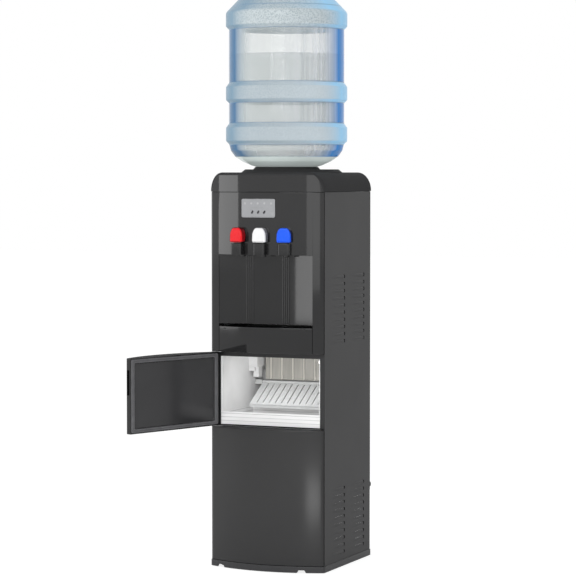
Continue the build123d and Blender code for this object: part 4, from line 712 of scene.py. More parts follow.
def planLoop(half, back, inset=0.0, corner=0.0, backCorner=0.0):
    # bowed front from left to right, right side, back, left side
    radius = bowRadius - inset
    corner = max(corner, 0.05)
    spotX = half - corner
    spotY = bowCentre - sqrt((radius - corner) ** 2 - spotX ** 2)
    lean = asin(spotX / (radius - corner))
    steps, turns = cabinet["bowSteps"], cabinet["cornerSteps"]
    points = []
    for k in range(steps + 1):
        a = lean * (2 * k / steps - 1)
        points.append((radius * sin(a), bowCentre - radius * cos(a)))
    for k in range(1, turns + 1):
        a = lean + (pi / 2 - lean) * k / turns
        points.append((spotX + corner * sin(a), spotY - corner * cos(a)))
    for a in quarter(turns) if backCorner else [0.0]:
        points.append((half - backCorner + backCorner * cos(a), back - backCorner * (1 - sin(a))))
    left = [(-x, y) for x, y in points[steps + 1:]]
    return points + left[::-1]


def edgeStack(low, high, radius, steps=4):
    # heights and insets of a form with both edges rounded
    out = [(low + radius * (1 - cos(a)), radius * (1 - sin(a))) for a in quarter(steps)]
    return out + [(low + high - z, i) for z, i in out[::-1]]


def moulding(name, low, high, half, back, inset=0.0, corner=9.0, edge=1.2, backCorner=0.0):
    rings = []
    for height, tuck in edgeStack(low, high, edge):
        loop = planLoop(half - tuck, back - min(tuck, 0.3), inset + tuck, corner - tuck, backCorner)
        rings.append(level(loop, height))
    return loft(name, rings)


# ---- base
for row in (
    ("base_tray", "baseBlack", "base_black", 0.8, "cabinet", "basePlinth"),
    ("rubber_feet", "footRubber", "foot_rubber", 0.4, "cabinet", "cornerFeet"),
):
    softened(*row)
print("base done")


# ---- side panels with raised louvres
louvre = {
    "length": 78.0, "halfHeight": 4.0, "rise": 2.0, "skin": 0.9, "steps": 14, "across": 8, "nose": 0.1, "crown": 2.2,
    "least": 0.02,
    "starts": (-106.0, 21.0), "blocks": (36.4, 555.0), "pitch": 17.5, "rows": 10,
    # each mouth: from a share of the length, to this far past its end, half height
    "mouths": ((0.3, 8.4, 3.9), (0.999, 10.2, 2.5)),
}
side = {
    "x": 150.0, "front": -147.0, "back": 148.7, "low": 17.0, "high": 919.0, "sheet": 1.2, "flange": 14.0,
    "flangeFront": -131.3, "sheetEdge": 0.45, "foldEdge": 0.35, "lap": 0.2,
}


def louvrePiece():
    # a long pressed hood: rounded at its leading end, open at its rear end
    v = Values(**louvre)
    sheets = []
    for depth in (0.0, v.skin):
        rows = []
        for i in range(v.steps + 1):
            t = i / v.steps
            width = v.halfHeight * sqrt(min(1.0, 1 - (1 - min(1.0, t / v.nose)) ** 2)) + v.least
            rise = v.rise * (3 * t * t - 2 * t ** 3)
            row = []
            for j in range(v.across + 1):
                s = 2 * j / v.across - 1
                crown = max(0.0, 1 - abs(s) ** v.crown)
                inner = width - depth * 0.5 if depth else width
                row.append((rise * crown - depth, t * v.length, s * max(v.least, inner)))
            rows.append(row)
        sheets.append(rows)
    across = v.across + 1
    rows = v.steps + 1
    points = [Vector(p) * mm for rowsOf in sheets for row in rowsOf for p in row]
    size = across * rows
    faces = []
    for layer in (0, 1):
        for i in range(rows - 1):
            for j in range(across - 1):
                a = layer * size + i * across + j
                faces.append((a, a + 1, a + across + 1, a + across))
    rim = list(range(across)) + [i * across + across - 1 for i in range(1, rows)]
    rim += [(rows - 1) * across + j for j in range(across - 2, -1, -1)] + [i * across for i in range(rows - 2, 0, -1)]
    for k, a in enumerate(rim):
        b = rim[(k + 1) % len(rim)]
        faces.append((a, b, b + size, a + size))
    return meshObject("louvrePiece", points, faces)


def louvreMouths():
    # the openings in the sheet as front, back, low, high
    v = Values(**louvre)
    holes = []
    for block in v.blocks:
        for row in range(v.rows):
            middle = block + row * v.pitch
            for start in v.starts:
                for share, past, tall in v.mouths:
                    holes.append((start + v.length * share, start + v.length + past, middle - tall, middle + tall))
    return holes


def louvreSets(name, piece, finish, shift=0.0):
    v = Values(**louvre)
    first, second = v.starts
    sets = [repeated(name, piece, finish, (0, first + shift, block), (0, second - first, 0), 2, (0, 0, v.pitch), v.rows,
                     kept=True) for block in v.blocks]
    drop(piece)
    return sets


def sideSheet(name):
    # a sheet of small quads between all the mouths' edges, without those inside a mouth
    v = Values(**side)
    holes = louvreMouths()
    ys = sorted({v.front, v.back}.union(*(hole[:2] for hole in holes)))
    zs = sorted({v.low, v.high}.union(*(hole[2:] for hole in holes)))
    points = [(v.x - depth, y, z) for depth in (0.0, v.sheet) for y in ys for z in zs]
    size, tall = len(ys) * len(zs), len(zs)
    cells = [(i, j) for i in range(len(ys) - 1) for j in range(len(zs) - 1)]
    solid = set()
    for i, j in cells:
        y, z = (ys[i] + ys[i + 1]) / 2, (zs[j] + zs[j + 1]) / 2
        if not any(a < y < b and c < z < d for a, b, c, d in holes):
            solid.add((i, j))
    faces = []
    for i, j in cells:
        if (i, j) not in solid:
            continue
        a = i * tall + j
        quad = (a, a + tall, a + tall + 1, a + 1)
        faces += [quad, tuple(k + size for k in quad[::-1])]
        for (di, dj), (p, q) in (((-1, 0), (a, a + 1)), ((1, 0), (a + tall, a + tall + 1)),
                                 ((0, -1), (a, a + tall)), ((0, 1), (a + 1, a + tall + 1))):
            if (i + di, j + dj) not in solid:
                faces.append((p, q, q + size, p + size))
    sheet = meshObject(name, [Vector(p) * mm for p in points], faces)
    worked(sheet, flattened(1))
    return rounded(sheet, v.sheetEdge, 2, 60)


def sided(made, sideSign):
    return moved(made, Matrix.Scale(-1, 4, (1, 0, 0))) if sideSign < 0 else made


def sidePanel(sideSign, name, node):
    v = Values(**side)
    parts = [sideSheet(name + "Sheet")]
    piece = moved(louvrePiece(), Matrix.Translation((v.x * mm, 0, 0)))
    parts += louvreSets(name + "Louvres", piece, "sideEnamel")
    inner = v.x - v.sheet
    for low, high in ((v.flangeFront, v.flangeFront + v.sheet), (v.back - v.sheet, v.back)):
        fold = box(name + "Fold", (inner - v.flange, low, v.low), (inner + v.lap, high, v.high))
        parts.append(rounded(fold, v.foldEdge))
    made = sided(joined(name, *parts), sideSign)
    return dressed(made, "sideEnamel", node, smooth=30.0)


ventShade = {
    "depth": 3.8, "skin": 0.6, "long": 11.6, "half": 4.9, "lap": 0.1, "start": 0.5,
    # painted shade: a dark strip before the foam, which stands close behind two mouths
    "guard": ((148.45, 98.6, 550.1), (148.75, 110.0, 569.6)),
}


def ventShadePockets(sideSign, name):
    # painted shade: dark cups put behind the open rear ends of the louvres, so that the mouths look like shadowed holes
    v = Values(**ventShade)
    face = side["x"] - side["sheet"] + v.lap
    cup = box("cup", (face - v.depth, 0, -v.half), (face, v.long, v.half))
    room = v.half - v.skin
    cut(cup, box("room", (face - v.depth + v.skin, v.skin, -room), (face + 2, v.long - v.skin, room)))
    parts = louvreSets(name, cup, "drainBlack", louvre["length"] - v.start)
    made = sided(joined(name, *parts, box("guard", *v.guard)), sideSign)
    return dressed(made, "drainBlack")


sidePanel(1, "rightSidePanel", "right_side_panel")
ventShadePockets(1, "rightVentPockets")
ventShadePockets(-1, "leftVentPockets")
sidePanel(-1, "leftSidePanel", "left_side_panel")
print("side panels done")


# ---- front mouldings
front = {
    "lowerLow": 17.4, "lowerHigh": 345.5, "fasciaLow": 530.0, "fasciaHigh": 919.0, "bayHalf": 124.0, "bayTop": 767.0,
    "edge": 1.3, "roomEdge": 0.4, "fasciaEdge": 0.9, "bayFront": -260.0, "bayBack": -60.0,
}


def frontMoulding(name, low, high, roomLow):
    c = Values(**cabinet)
    made = moulding(name, low, high, c.mouldingHalf, c.mouldingBack, corner=c.corner, edge=front["edge"])
    hollow = moulding("hollow", roomLow + c.wall, high - c.wall, c.mouldingHalf - c.wall, c.mouldingBack + 5, c.wall,
                      c.corner - c.wall, front["roomEdge"])
    return cut(made, hollow)


def lowerPanel():
    v = Values(**front)
    made = frontMoulding("lowerFrontPanel", v.lowerLow, v.lowerHigh, v.lowerLow)
    return dressed(made, "satinBlack", "lower_front_panel", matteWhere=facesUp)


def upperFascia():
    v = Values(**front)
    made = frontMoulding("upperFascia", v.fasciaLow, v.fasciaHigh, v.bayTop)
    cut(made, box("bay", (-v.bayHalf, v.bayFront, v.fasciaLow - 20), (v.bayHalf, v.bayBack, v.bayTop)))
    rounded(made, v.fasciaEdge, 3, 60)
    return dressed(made, "glossBlack", "upper_fascia")


lowerPanel()
upperFascia()

bayWall = {
    "edge": 123.7, "turnOuter": 58.0, "turnInner": 37.0, "turnY": -144.6, "backY": -143.0, "wall": 2.5,
    "low": 599.0, "high": 767.0, "ribs": 4, "ribRadius": 1.7, "ribSteps": 8, "slopes": (11.0, 15.0), "wallSteps": 14,
    "rounding": 0.4,
}


def bayLiner():
    # slanted sides, a turn with upright round ribs each side, a flat back
    v = Values(**bayWall)
    right = [(0.0, v.backY)]
    run = v.turnOuter - v.turnInner
    fall = v.turnY - v.backY
    pitch = run / v.ribs
    right.append((v.turnInner, v.backY))
    for rib in range(v.ribs):
        for k in range(v.ribSteps + 1):
            a = pi * k / v.ribSteps
            x = v.turnInner + (rib + 0.5) * pitch - v.ribRadius * cos(a)
            right.append((x, v.backY + (x - v.turnInner) / run * fall - v.ribRadius * sin(a)))
    # each side wall is slightly hollow: its slope grows towards the front
    wall = [(v.turnOuter, v.turnY)]
    reach = (v.edge - v.turnOuter) / v.wallSteps
    for k in range(v.wallSteps):
        slope = v.slopes[0] + (v.slopes[1] - v.slopes[0]) * (k + 0.5) / v.wallSteps
        wall.append((wall[-1][0] + reach, wall[-1][1] - reach * tan(radians(slope))))
    right += wall
    face = [(-x, y) for x, y in right[:0:-1]] + right
    rear = [(x, y + v.wall) for x, y in wall[::-1] + [(v.turnInner, v.backY)]]
    loop = face + rear + [(-x, y) for x, y in rear[::-1]]
    made = loft("bayLiner", [level(loop, z) for z in (v.low, v.high)])
    rounded(made, v.rounding, 2, 70)
    return dressed(made, "glossBlack", "bay_liner", smooth=32.0)


bayLiner()
print("front mouldings done")


# ---- drip tray and its grille
tray = {
    "half": 123.4, "low": 530.1, "high": 592.5, "back": -62.0, "wall": 2.2, "ledge": 2.0, "grilleLow": 586.5,
    "grilleHigh": 589.5, "pitch": 11.0, "bars": 20, "barWidth": 6.4, "slotFront": -168.0, "slotBack": -92.0,
    "corner": 2.0, "grilleGap": 0.3, "barEdge": 1.1, "plateEdge": 0.35, "lap": 1.0, "reach": 3.0,
}


def dripTray():
    v = Values(**tray)
    made = moulding("dripTray", v.low, v.high, v.half, v.back, corner=2.5, edge=1.4, backCorner=3.0)
    inset, above = v.wall + v.ledge, v.high + 9
    deep = moulding("deep", v.low + v.wall, above, v.half - inset, v.back - inset, inset, v.corner, 0.8, v.corner)
    seat = moulding("seat", v.grilleLow, above, v.half - v.wall, v.back - v.wall, v.wall, v.corner, 0.3, v.corner)
    cut(made, deep, seat)
    return dressed(made, "glossBlack", "drip_tray", "drip_tray", matteWhere=facesUp)


def dripGrille():
    v = Values(**tray)
    gap = v.wall + v.grilleGap
    plate = moulding("plate", v.grilleLow, v.grilleHigh, v.half - gap, v.back - gap, gap, v.corner, 0.5, v.corner)
    window = v.pitch * (v.bars - 1) / 2 - v.barWidth / 2 + 0.4
    reach = window + v.barWidth - v.reach
    cut(plate, box("hole", (-reach, v.slotFront, 500), (reach, v.slotBack, 640)))
    rounded(plate, v.plateEdge, 2, 60)
    half, near, far = v.barWidth / 2, v.slotFront - v.lap, v.slotBack + v.lap
    bar = rounded(box("bar", (-half, near, v.grilleLow), (half, far, v.grilleHigh)), v.barEdge, 3)
    first = -v.pitch * (v.bars - 1) / 2
    bars = repeated("bars", bar, "frameBlack", (first, 0, 0), (v.pitch, 0, 0), v.bars)
    return dressed(joined("dripGrille", plate, bars), "frameBlack", "drip_grille", "drip_tray")


dripTray()
dripGrille()
softened("tray_channel", "zinc", "zinc_sheet", 0.3)
print("drip tray done")


# ---- the ice door, drawn closed and turned open about its hinge
door = {
    "half": 147.0, "inner": -137.0, "low": 347.8, "high": 527.8, "hingeX": -143.0, "hingeY": -148.5, "opening": 110.0,
    "wall": 2.5, "gap": 0.3, "gasketSide": 11.0, "gasketTop": 9.0, "gasketRise": 2.4, "recess": 5.0,
    "gripLow": 440.0, "gripHigh": 500.0, "gripReach": 10.0, "gripFace": -139.5, "skinInset": 0.05, "corner": 9.0,
    "edge": 1.3, "rounding": 0.5, "panelTurn": 2.0, "panelFoot": (1.8, 1.6), "panelCorners": (3.0, 6.0),
    "panelRings": (20.0, 40.0, 60.0), "gasketInset": 0.2, "gasketCorner": 4.0,
}
hinge = Vector((door["hingeX"] * mm, door["hingeY"] * mm, 0))
doorTurn = Matrix.Translation(hinge) @ Matrix.Rotation(radians(-door["opening"]), 4, "Z") @ Matrix.Translation(-hinge)


def frameLoop(halfX, lowZ, highZ, corner, y, steps=6):
    # a rounded rectangle standing in the XZ plane
    middle = (lowZ + highZ) / 2
    halfZ = (highZ - lowZ) / 2
    corner = max(0.05, min(corner, halfX - 0.05, halfZ - 0.05))
    out = []
    for sx, sz, first in ((1, 1, 0.0), (-1, 1, pi / 2), (-1, -1, pi), (1, -1, 3 * pi / 2)):
        for a in quarter(steps):
            out.append(((sx * (halfX - corner) + corner * cos(first + a)) * mm, y * mm,
                        (middle + sz * (halfZ - corner) + corner * sin(first + a)) * mm))
    return out


def doorSkin():
    v = Values(**door)
    made = moulding("doorSkin", v.low, v.high, v.half, v.inner, v.skinInset, v.corner, v.edge)
    w = v.wall
    hollow = moulding("hollow", v.low + w, v.high - w, v.half - w, v.inner + 5, w, v.corner - w, front["roomEdge"])
    grip = box("grip", (v.half - v.gripReach, v.gripFace - 10.0, v.gripLow), (v.half + 20, v.gripFace, v.gripHigh))
    block = box("block", (v.half - v.gripReach - w, v.gripFace - 12.0, v.gripLow - w),
                (v.half - 0.4, v.gripFace + w, v.gripHigh + w))
    cut(hollow, block)
    cut(made, hollow, grip)
    rounded(made, v.rounding, 2, 60, clamped=True)
    moved(made, doorTurn)
    return dressed(made, "glossBlack", "door_skin", "door", matteWhere=facesUp)


def doorInner():
    v = Values(**door)
    half = v.half - v.wall - v.gap
    low, high = v.low + v.wall + v.gap, v.high - v.wall - v.gap
    steps = [(0.0, v.inner - v.wall), (0.0, v.inner), (v.gasketSide, v.inner)]
    turn, (footOut, footUp) = v.panelTurn, v.panelFoot
    steps += [(v.gasketSide + turn * sin(a), v.inner - turn * (1 - cos(a))) for a in quarter(5, 1)]
    for a in quarter(5):
        steps.append((v.gasketSide + 2.6 + footOut * (1 - cos(a)), v.inner - v.recess + footUp * (1 - sin(a))))
    rings = []
    for inset, y in steps:
        fall = inset * v.gasketTop / v.gasketSide
        rings.append(frameLoop(half - inset, low + fall, high - fall, v.panelCorners[inset >= 1], y))
    for inset in v.panelRings:
        rings.append(frameLoop(half - inset, low + inset, high - inset, v.panelCorners[1], v.inner - v.recess))
    made = loft("doorInnerPanel", rings)
    moved(made, doorTurn)
    return dressed(made, "doorPanel", "door_inner_panel", "door")


def doorGasket():
    v = Values(**door)
    half = v.half - v.wall - v.gap - v.gasketInset
    low, high = v.low + v.wall + v.gap + v.gasketInset, v.high - v.wall - v.gap - v.gasketInset
    width, rise = v.gasketSide - 0.8, v.gasketRise
    shape = [(0.0, 0.0), (0.0, 1.2), (0.6, 2.0), (1.8, rise), (4.2, rise), (4.8, 1.5), (5.6, 1.5), (6.2, rise),
             (8.6, rise), (9.6, 1.9), (width, 1.0), (width, 0.0)]
    rings = []
    for inset, up in shape:
        fall = inset * (v.gasketTop - 0.6) / width
        rings.append(frameLoop(half - inset, low + fall, high - fall, v.gasketCorner, v.inner + up))
    made = loft("doorGasket", rings, looped=True)
    moved(made, doorTurn)
    return dressed(made, "gasket", "door_gasket", "door")


doorSkin()
doorInner()
doorGasket()
softened("hinge_brackets", "hingeSteel", "hinge_steel", 0.25)
print("ice door done")


# ---- ice compartment
for row in (
    ("ice_frame", "frameBlack", "frame_black", 0.6),
    ("ice_liner", "linerWhite", "liner_white", 0.8),
    ("ice_insulation", "foam", "foam", 0),
    ("ice_bin", "binWhite", "liner_white", 0.45),
    ("ice_maker_bearings", "icePart", "ice_plastic", 0.5),
    ("ice_reservoir", "icePart", "ice_plastic", 0.5),
    ("ice_water_pump", "motorGrey", "motor_grey", 0.6),
    ("ice_lamp", "lampGlow", "lamp", 0.2),
):
    softened(*row)

motor = {  # low corner, high corner, edge
    "case": ((-128.7, 22.0, 478.0), (-104.0, 98.0, 555.7), 1.6),
    "step": ((-128.7, 24.0, 468.0), (-113.0, 94.0, 482.0), 1.2),
    "duct": ((-121.0, 34.0, 452.0), (-106.0, 58.0, 482.0), 1.8),
}
waterBox = {
    "left": -98.0, "right": 112.0, "front": 60.0, "depth": 44.0, "low": 446.0, "high": 505.0, "wall": 2.0, "round": 9.0,
    "ribPitch": 30.0, "ribs": 7, "rib": 3.4, "ribOut": 1.6, "lip": 4.0, "rim": 4.0, "rimOut": 1.6, "pinZ": 485.0,
    "pin": 3.0, "pinOut": 4.0, "edge": 0.5, "ribEdge": 0.7, "lipEdge": 0.8, "lipTuck": 3.6, "lap": 0.4,
}


def gearMotor():
    parts = [rounded(box(name, low, high), edge, 3) for name, (low, high, edge) in motor.items()]
    return dressed(joined("gearMotor", *parts), "linerWhite", "gear_motor")


def tippingBox():
    # trough with rounded lower ends, upright ribs, a rolled rim and a light lip below
    v = Values(**waterBox)
    middle, halfLong = (v.left + v.right) / 2, (v.right - v.left) / 2
    back = v.front + v.depth

    def shell(name, tuck, low, high, y0, y1):
        left, right, turn = middle - halfLong + tuck, middle + halfLong - tuck, v.round - tuck
        across = eased([(left, high), (left, low), (right, low), (right, high)], [0, turn, turn, 0], 8)
        return loft(name, [[(x * mm, y * mm, z * mm) for x, z in across] for y in (y0, y1)])

    trough = shell("trough", 0.0, v.low, v.high, v.front, back)
    cut(trough, shell("room", v.wall, v.low + v.wall, v.high + 4, v.front + v.wall, back - v.wall))
    rounded(trough, v.edge)
    rib = box("rib", (-v.rib / 2, -v.ribOut, v.low + v.round), (v.rib / 2, v.lap, v.high - v.rim + v.lap))
    ribs = repeated("ribs", rounded(rib, v.ribEdge, 3), "iceBox", (middle - v.ribPitch * (v.ribs - 1) / 2, v.front, 0),
                    (v.ribPitch, 0, 0), v.ribs)
    rim = box("rim", (v.left, v.front - v.rimOut, v.high - v.rim), (v.right, back + v.rimOut, v.high))
    gap = box("gap", (v.left + v.wall, v.front + v.wall, v.low), (v.right - v.wall, back - v.wall, 600))
    rounded(cut(rim, gap), v.ribEdge, 3)
    lip = box("lip", (v.left + v.lipTuck, v.front - v.lip, v.low), (v.right - v.lipTuck, v.front + 3, v.low + v.wall))
    rounded(lip, v.lipEdge, 3)
    pinY = v.front + v.depth / 2
    pins = [rod("pin", (x, pinY, v.pinZ), (x + out, pinY, v.pinZ), v.pin, 24)
            for x, out in ((v.left, -v.pinOut), (v.right, v.pinOut))]
    made = joined("waterBox", trough, ribs, rim, lip, *pins)
    return dressed(made, "iceBox", "water_box", "water_box")


gearMotor()
tippingBox()

icePlate = {
    "half": 108.0, "length": 101.0, "slope": 30.0, "pivotY": 70.0, "pivotZ": 438.0, "thick": 3.0, "lip": 9.0,
    "pitch": 16.5, "gap": 2.8, "margin": 9.0, "slots": 12, "barrel": 4.0, "pin": 2.5, "pinLength": 5.0, "ridge": 0.8,
    "ridgeSink": 0.4, "edge": 0.5, "lipWide": 3.0, "lipEdge": 0.8,
}


def slattedPlate():
    # drawn flat about its pivot, then tipped to its slope
    v = Values(**icePlate)
    t = v.thick / 2
    plate = box("plate", (-v.half, -v.length, -t), (v.half, 0, t))
    first, step = -v.pitch * (v.slots - 1) / 2, (v.pitch, 0, 0)
    knife = box("knife", (-v.gap / 2, -v.length + v.margin, -20), (v.gap / 2, -v.margin, 20))
    cut(plate, tidyMesh(repeated("knives", knife, "icePlate", (first, 0, 0), step, v.slots)))
    lip = box("lip", (-v.half, -v.length, t - v.lip), (v.half, -v.length + v.lipWide, t))
    rounded(plate, v.edge)
    rounded(lip, v.lipEdge, 3)
    top = t - v.ridgeSink
    ridge = rod("ridge", (0, -v.length + v.margin, top), (0, -v.margin, top), v.ridge, 12)
    ridges = repeated("ridges", ridge, "icePlate", (first - v.pitch / 2, 0, 0), step, v.slots + 1)
    barrel, pin = (rod(name, (-reach, 0, 0), (reach, 0, 0), radius) for name, reach, radius in (
        ("barrel", v.half, v.barrel), ("pin", v.half + v.pinLength, v.pin)))
    made = joined("icePlate", plate, lip, ridges, barrel, pin)
    tip = Matrix.Rotation(radians(v.slope), 4, "X")
    moved(made, Matrix.Translation((0, v.pivotY * mm, v.pivotZ * mm)) @ tip)
    return dressed(made, "icePlate", "ice_plate", "ice_plate")


cooler = {
    "middle": 7.0, "y": 82.0, "half": 99.0, "deep": 7.0, "low": 516.0, "high": 525.0, "pitch": 22.0, "fingers": 9,
    "postX": 94.0, "post": 5.0, "top": 555.7, "edge": 1.5, "postEdge": 0.5,
    "finger": ((0.01, 467.0), (1.6, 467.2), (2.8, 468.2), (3.5, 470.0), (3.5, 518.0), (0.01, 518.0)),
}


def evaporator():
    v = Values(**cooler)

    def upright(name, x, halfX, halfY, high, edge, segments):
        made = box(name, (x - halfX, v.y - halfY, v.low), (x + halfX, v.y + halfY, high))
        return rounded(made, edge, segments)

    header = upright("header", v.middle, v.half, v.deep, v.high, v.edge, 3)
    finger = turned("finger", v.finger, sides=20, closed=False)
    first = v.middle - v.pitch * (v.fingers - 1) / 2
    fingers = repeated("fingers", finger, "nickel", (first, v.y, 0), (v.pitch, 0, 0), v.fingers)
    posts = [upright("post", v.middle + s * v.postX, v.post, v.post, v.top, v.postEdge, 2) for s in (-1, 1)]
    return dressed(joined("iceEvaporator", header, fingers, *posts), "nickel", "ice_evaporator")


slattedPlate()
evaporator()
print("ice maker done")


# ---- display bezel, its lights and buttons
bezel = {
    "x": -9.0, "half": 44.5, "low": 858.0, "high": 903.0, "corner": 4.0, "rise": 2.0, "recess": 0.6, "frame": 2.5,
    "boss": 7.0, "bossHalf": 35.9, "bossLow": 863.1, "bossHigh": 897.9, "buttonShift": 1.0, "buttonPitch": 15.9,
    "buttonZ": 871.0, "buttonLong": 8.0, "buttonWide": 4.0, "slant": 60.0, "proud": 0.7, "flange": 5.5,
    "lightZ": 892.0, "lightPitch": 17.4, "lightRadius": 2.6, "clearance": 0.6, "stopThick": 2.0, "stopGap": 0.3,
    "edgeProfile": ((0.0, 0.1), (0.0, 1.2), (0.25, 1.75), (0.8, 2.0), (2.1, 2.0)), "floorRings": (0, 4, 9, 14, 18),
    "lightProfile": ((0.0, 1.3), (0.0, 1.55), (0.3, 1.72), (0.9, 1.75), (2.3, 1.75)),  # inset and height
}
bezelAngle = asin(bezel["x"] / bowRadius)


def onBow(u, v, z, angle=0.0):
    # wraps a flat place (across, outward, up) round the bowed front
    a = angle + u / bowRadius
    return ((bowRadius + v) * sin(a) * mm, (bowCentre - (bowRadius + v) * cos(a)) * mm, z * mm)


def onFace(u, v, z, angle=0.0):
    # the same place without the wrap: square to the front at the angle
    return (((bowRadius + v) * sin(angle) + u * cos(angle)) * mm,
            (bowCentre - (bowRadius + v) * cos(angle) + u * sin(angle)) * mm, z * mm)


def faceRing(loop, out, angle=bezelAngle):
    return [onFace(x, out, z, angle) for x, z in loop]


def slotLoop(longSide, wide, slant, u0, z0, steps=10):
    half = (longSide - wide) / 2
    turn = radians(slant)
    out = []
    for end, first in ((1, -pi / 2), (-1, pi / 2)):
        for k in range(steps + 1):
            a = first + pi * k / steps
            x, y = end * half + wide / 2 * cos(a), wide / 2 * sin(a)
            out.append((u0 + x * cos(turn) - y * sin(turn), z0 + x * sin(turn) + y * cos(turn)))
    return out


def bezelPlate():
    v = Values(**bezel)
    floor = v.rise - v.recess
    rings = []
    for inset, out in v.edgeProfile + tuple((v.frame + inward, floor) for inward in v.floorRings):
        loop = frameLoop(v.half - inset, v.low + inset, v.high - inset, v.corner - inset * 0.5, 0.0, 8)
        dense = []
        for i, (x, _, z) in enumerate(loop):
            nx, _, nz = loop[(i + 1) % len(loop)]
            pieces = 24 if i % 9 == 8 else 1  # the straight sides follow the bow
            for k in range(pieces):
                t = k / pieces
                dense.append(((x + (nx - x) * t) / mm, (z + (nz - z) * t) / mm))
        rings.append([onBow(x, out, z, bezelAngle) for x, z in dense])
    plate = loft("plate", rings)
    outline = frameLoop(v.bossHalf, v.bossLow, v.bossHigh, 0.4, 0.0)
    boss = loft("boss", [faceRing([(x / mm, z / mm) for x, _, z in outline], out) for out in (-v.boss, -0.6)])
    for k in (-1, 0, 1):
        longSide, wide = v.buttonLong + v.clearance, v.buttonWide + v.clearance
        loop = slotLoop(longSide, wide, v.slant, v.buttonShift + k * v.buttonPitch, v.buttonZ)
        for part in (plate, boss):
            cut(part, loft("hole", [faceRing(loop, out) for out in (-20.0, 20.0)]))
    made = joined("displayBezel", plate, boss)
    return dressed(made, "bezelSilver", "display_bezel", smooth=30.0)


def bezelLights():
    v = Values(**bezel)
    parts = []
    for k in range(-2, 3):
        x0 = v.lightPitch * k
        rings = []
        for inset, out in v.lightProfile:
            ring = [(x0 + x, v.lightZ + z) for x, z in circle(v.lightRadius - inset, 28)]
            rings.append(faceRing(ring, out - x0 ** 2 / (2 * bowRadius)))
        parts.append(loft("light", rings))
    return dressed(joined("displayLights", *parts), "bezelIcon", "display_lights")


def button(name, k, node):
    v = Values(**bezel)
    u0 = v.buttonShift + k * v.buttonPitch
    rings = []
    stop = -v.boss - v.stopGap
    for tuck, out in ((0.0, stop), (0.0, v.rise + 0.1), (0.3, v.rise + 0.5), (0.9, v.rise + v.proud)):
        loop = slotLoop(v.buttonLong - 2 * tuck, v.buttonWide - 2 * tuck, v.slant, u0, v.buttonZ)
        rings.append(faceRing(loop, out))
    ring = [(u0 + x, v.buttonZ + z) for x, z in circle(v.flange, 32)]
    disc = [faceRing(ring, out) for out in (stop - v.stopThick, stop)]
    made = joined(name, loft("stem", rings), loft("disc", disc))
    return dressed(made, "buttonDark", node, node)


bezelPlate()
bezelLights()
for k, name in enumerate(("Left", "Middle", "Right")):
    button("button" + name, k - 1, "button_" + name.lower())
softened("display_board", "board", "board_green", 0)
print("display done")


# ---- taps: dark bodies, coloured levers
lever = {
    "low": 799.0, "high": 834.0, "half": 18.2, "flat": 6.0, "shoulder": 810.0, "back": 1.0, "front": 19.0,
    "wall": 2.2, "round": 4.6, "foot": 2.5, "cutTop": 815.0, "cutBack": 4.5, "pinOut": 12.0, "pinZ": 818.0,
    "pinRadius": 2.05, "boss": 4.0, "bossStart": 10.3, "bossEnd": 17.5, "roomShares": (1.0, 0.6, 0.25),
}


def thimble(inset, low):
    # front view of a lever: upright sides that round in to a narrow flat top
    v = Values(**lever)
    half, top = v.half - inset, v.high - inset
    foot = max(0.4, v.foot - inset * 0.4)
    right = [(half - foot + foot * cos(a - pi / 2), low + foot + foot * sin(a - pi / 2)) for a in quarter(6)]
    right += [(v.flat + (half - v.flat) * cos(a), v.shoulder + (top - v.shoulder) * sin(a)) for a in quarter(16)]
    across = [(half - foot) * (1 - 2 * k / 6) for k in range(1, 6)]
    crown = [v.flat * (1 - 2 * k / 4) for k in range(1, 4)]
    return right + [(x, top) for x in crown] + [(-x, z) for x, z in right[::-1]] + [(-x, low) for x in across]


def leverShell(name, x, finish, node):
    v = Values(**lever)
    angle = asin(x / bowRadius)

    def rear(z, plus=0.0):
        return max(v.back, v.back + (v.cutTop - z) / (v.cutTop - v.low) * (v.cutBack - v.back)) + plus

    rings = []
    for share in v.roomShares:
        rings.append([onFace(u, (v.front - v.wall) * share + rear(z) * (1 - share), z, angle)
                      for u, z in thimble(v.wall, v.low - 0.5)])
    for inset, low, plus in ((v.wall, v.low - 0.5, 0.0), (v.wall * 0.5, v.low + 0.6, 0.0), (0.15, v.low + 0.1, 0.3),
                             (0.0, v.low, 0.9)):
        rings.append([onFace(u, rear(z, plus), z, angle) for u, z in thimble(inset, low)])
    for a in quarter(7):
        tuck = v.round * (1 - cos(a))
        rings.append(faceRing(thimble(tuck, v.low + tuck * 0.6), v.front - v.round * (1 - sin(a)), angle))
    parts = [loft("shell", rings)]
    for s in (-1, 1):
        ends = []
        for radius, u in ((v.pinRadius, v.bossStart), (v.boss, v.bossStart), (v.boss, v.bossEnd),
                          (v.pinRadius, v.bossEnd)):
            ends.append([onFace(s * u, v.pinOut + out, v.pinZ + z, angle) for out, z in circle(radius, 24)])
        parts.append(loft("boss", ends, looped=True))
    return dressed(joined(name, *parts), finish, node, node, 50.0)


taps = (("Hot", -60.0, "leverRed", "lever_red"), ("Room", 0.0, "leverWhite", "lever_white"),
        ("Cold", 60.0, "leverBlue", "lever_blue"))
for label, x, finish, slotName in taps:
    softened("tap_body_" + label.lower(), "glossBlack", "gloss_black", 0.9, segments=3)
    leverShell("tapLever" + label, x, finish, "tap_lever_" + label.lower())
print("taps done")


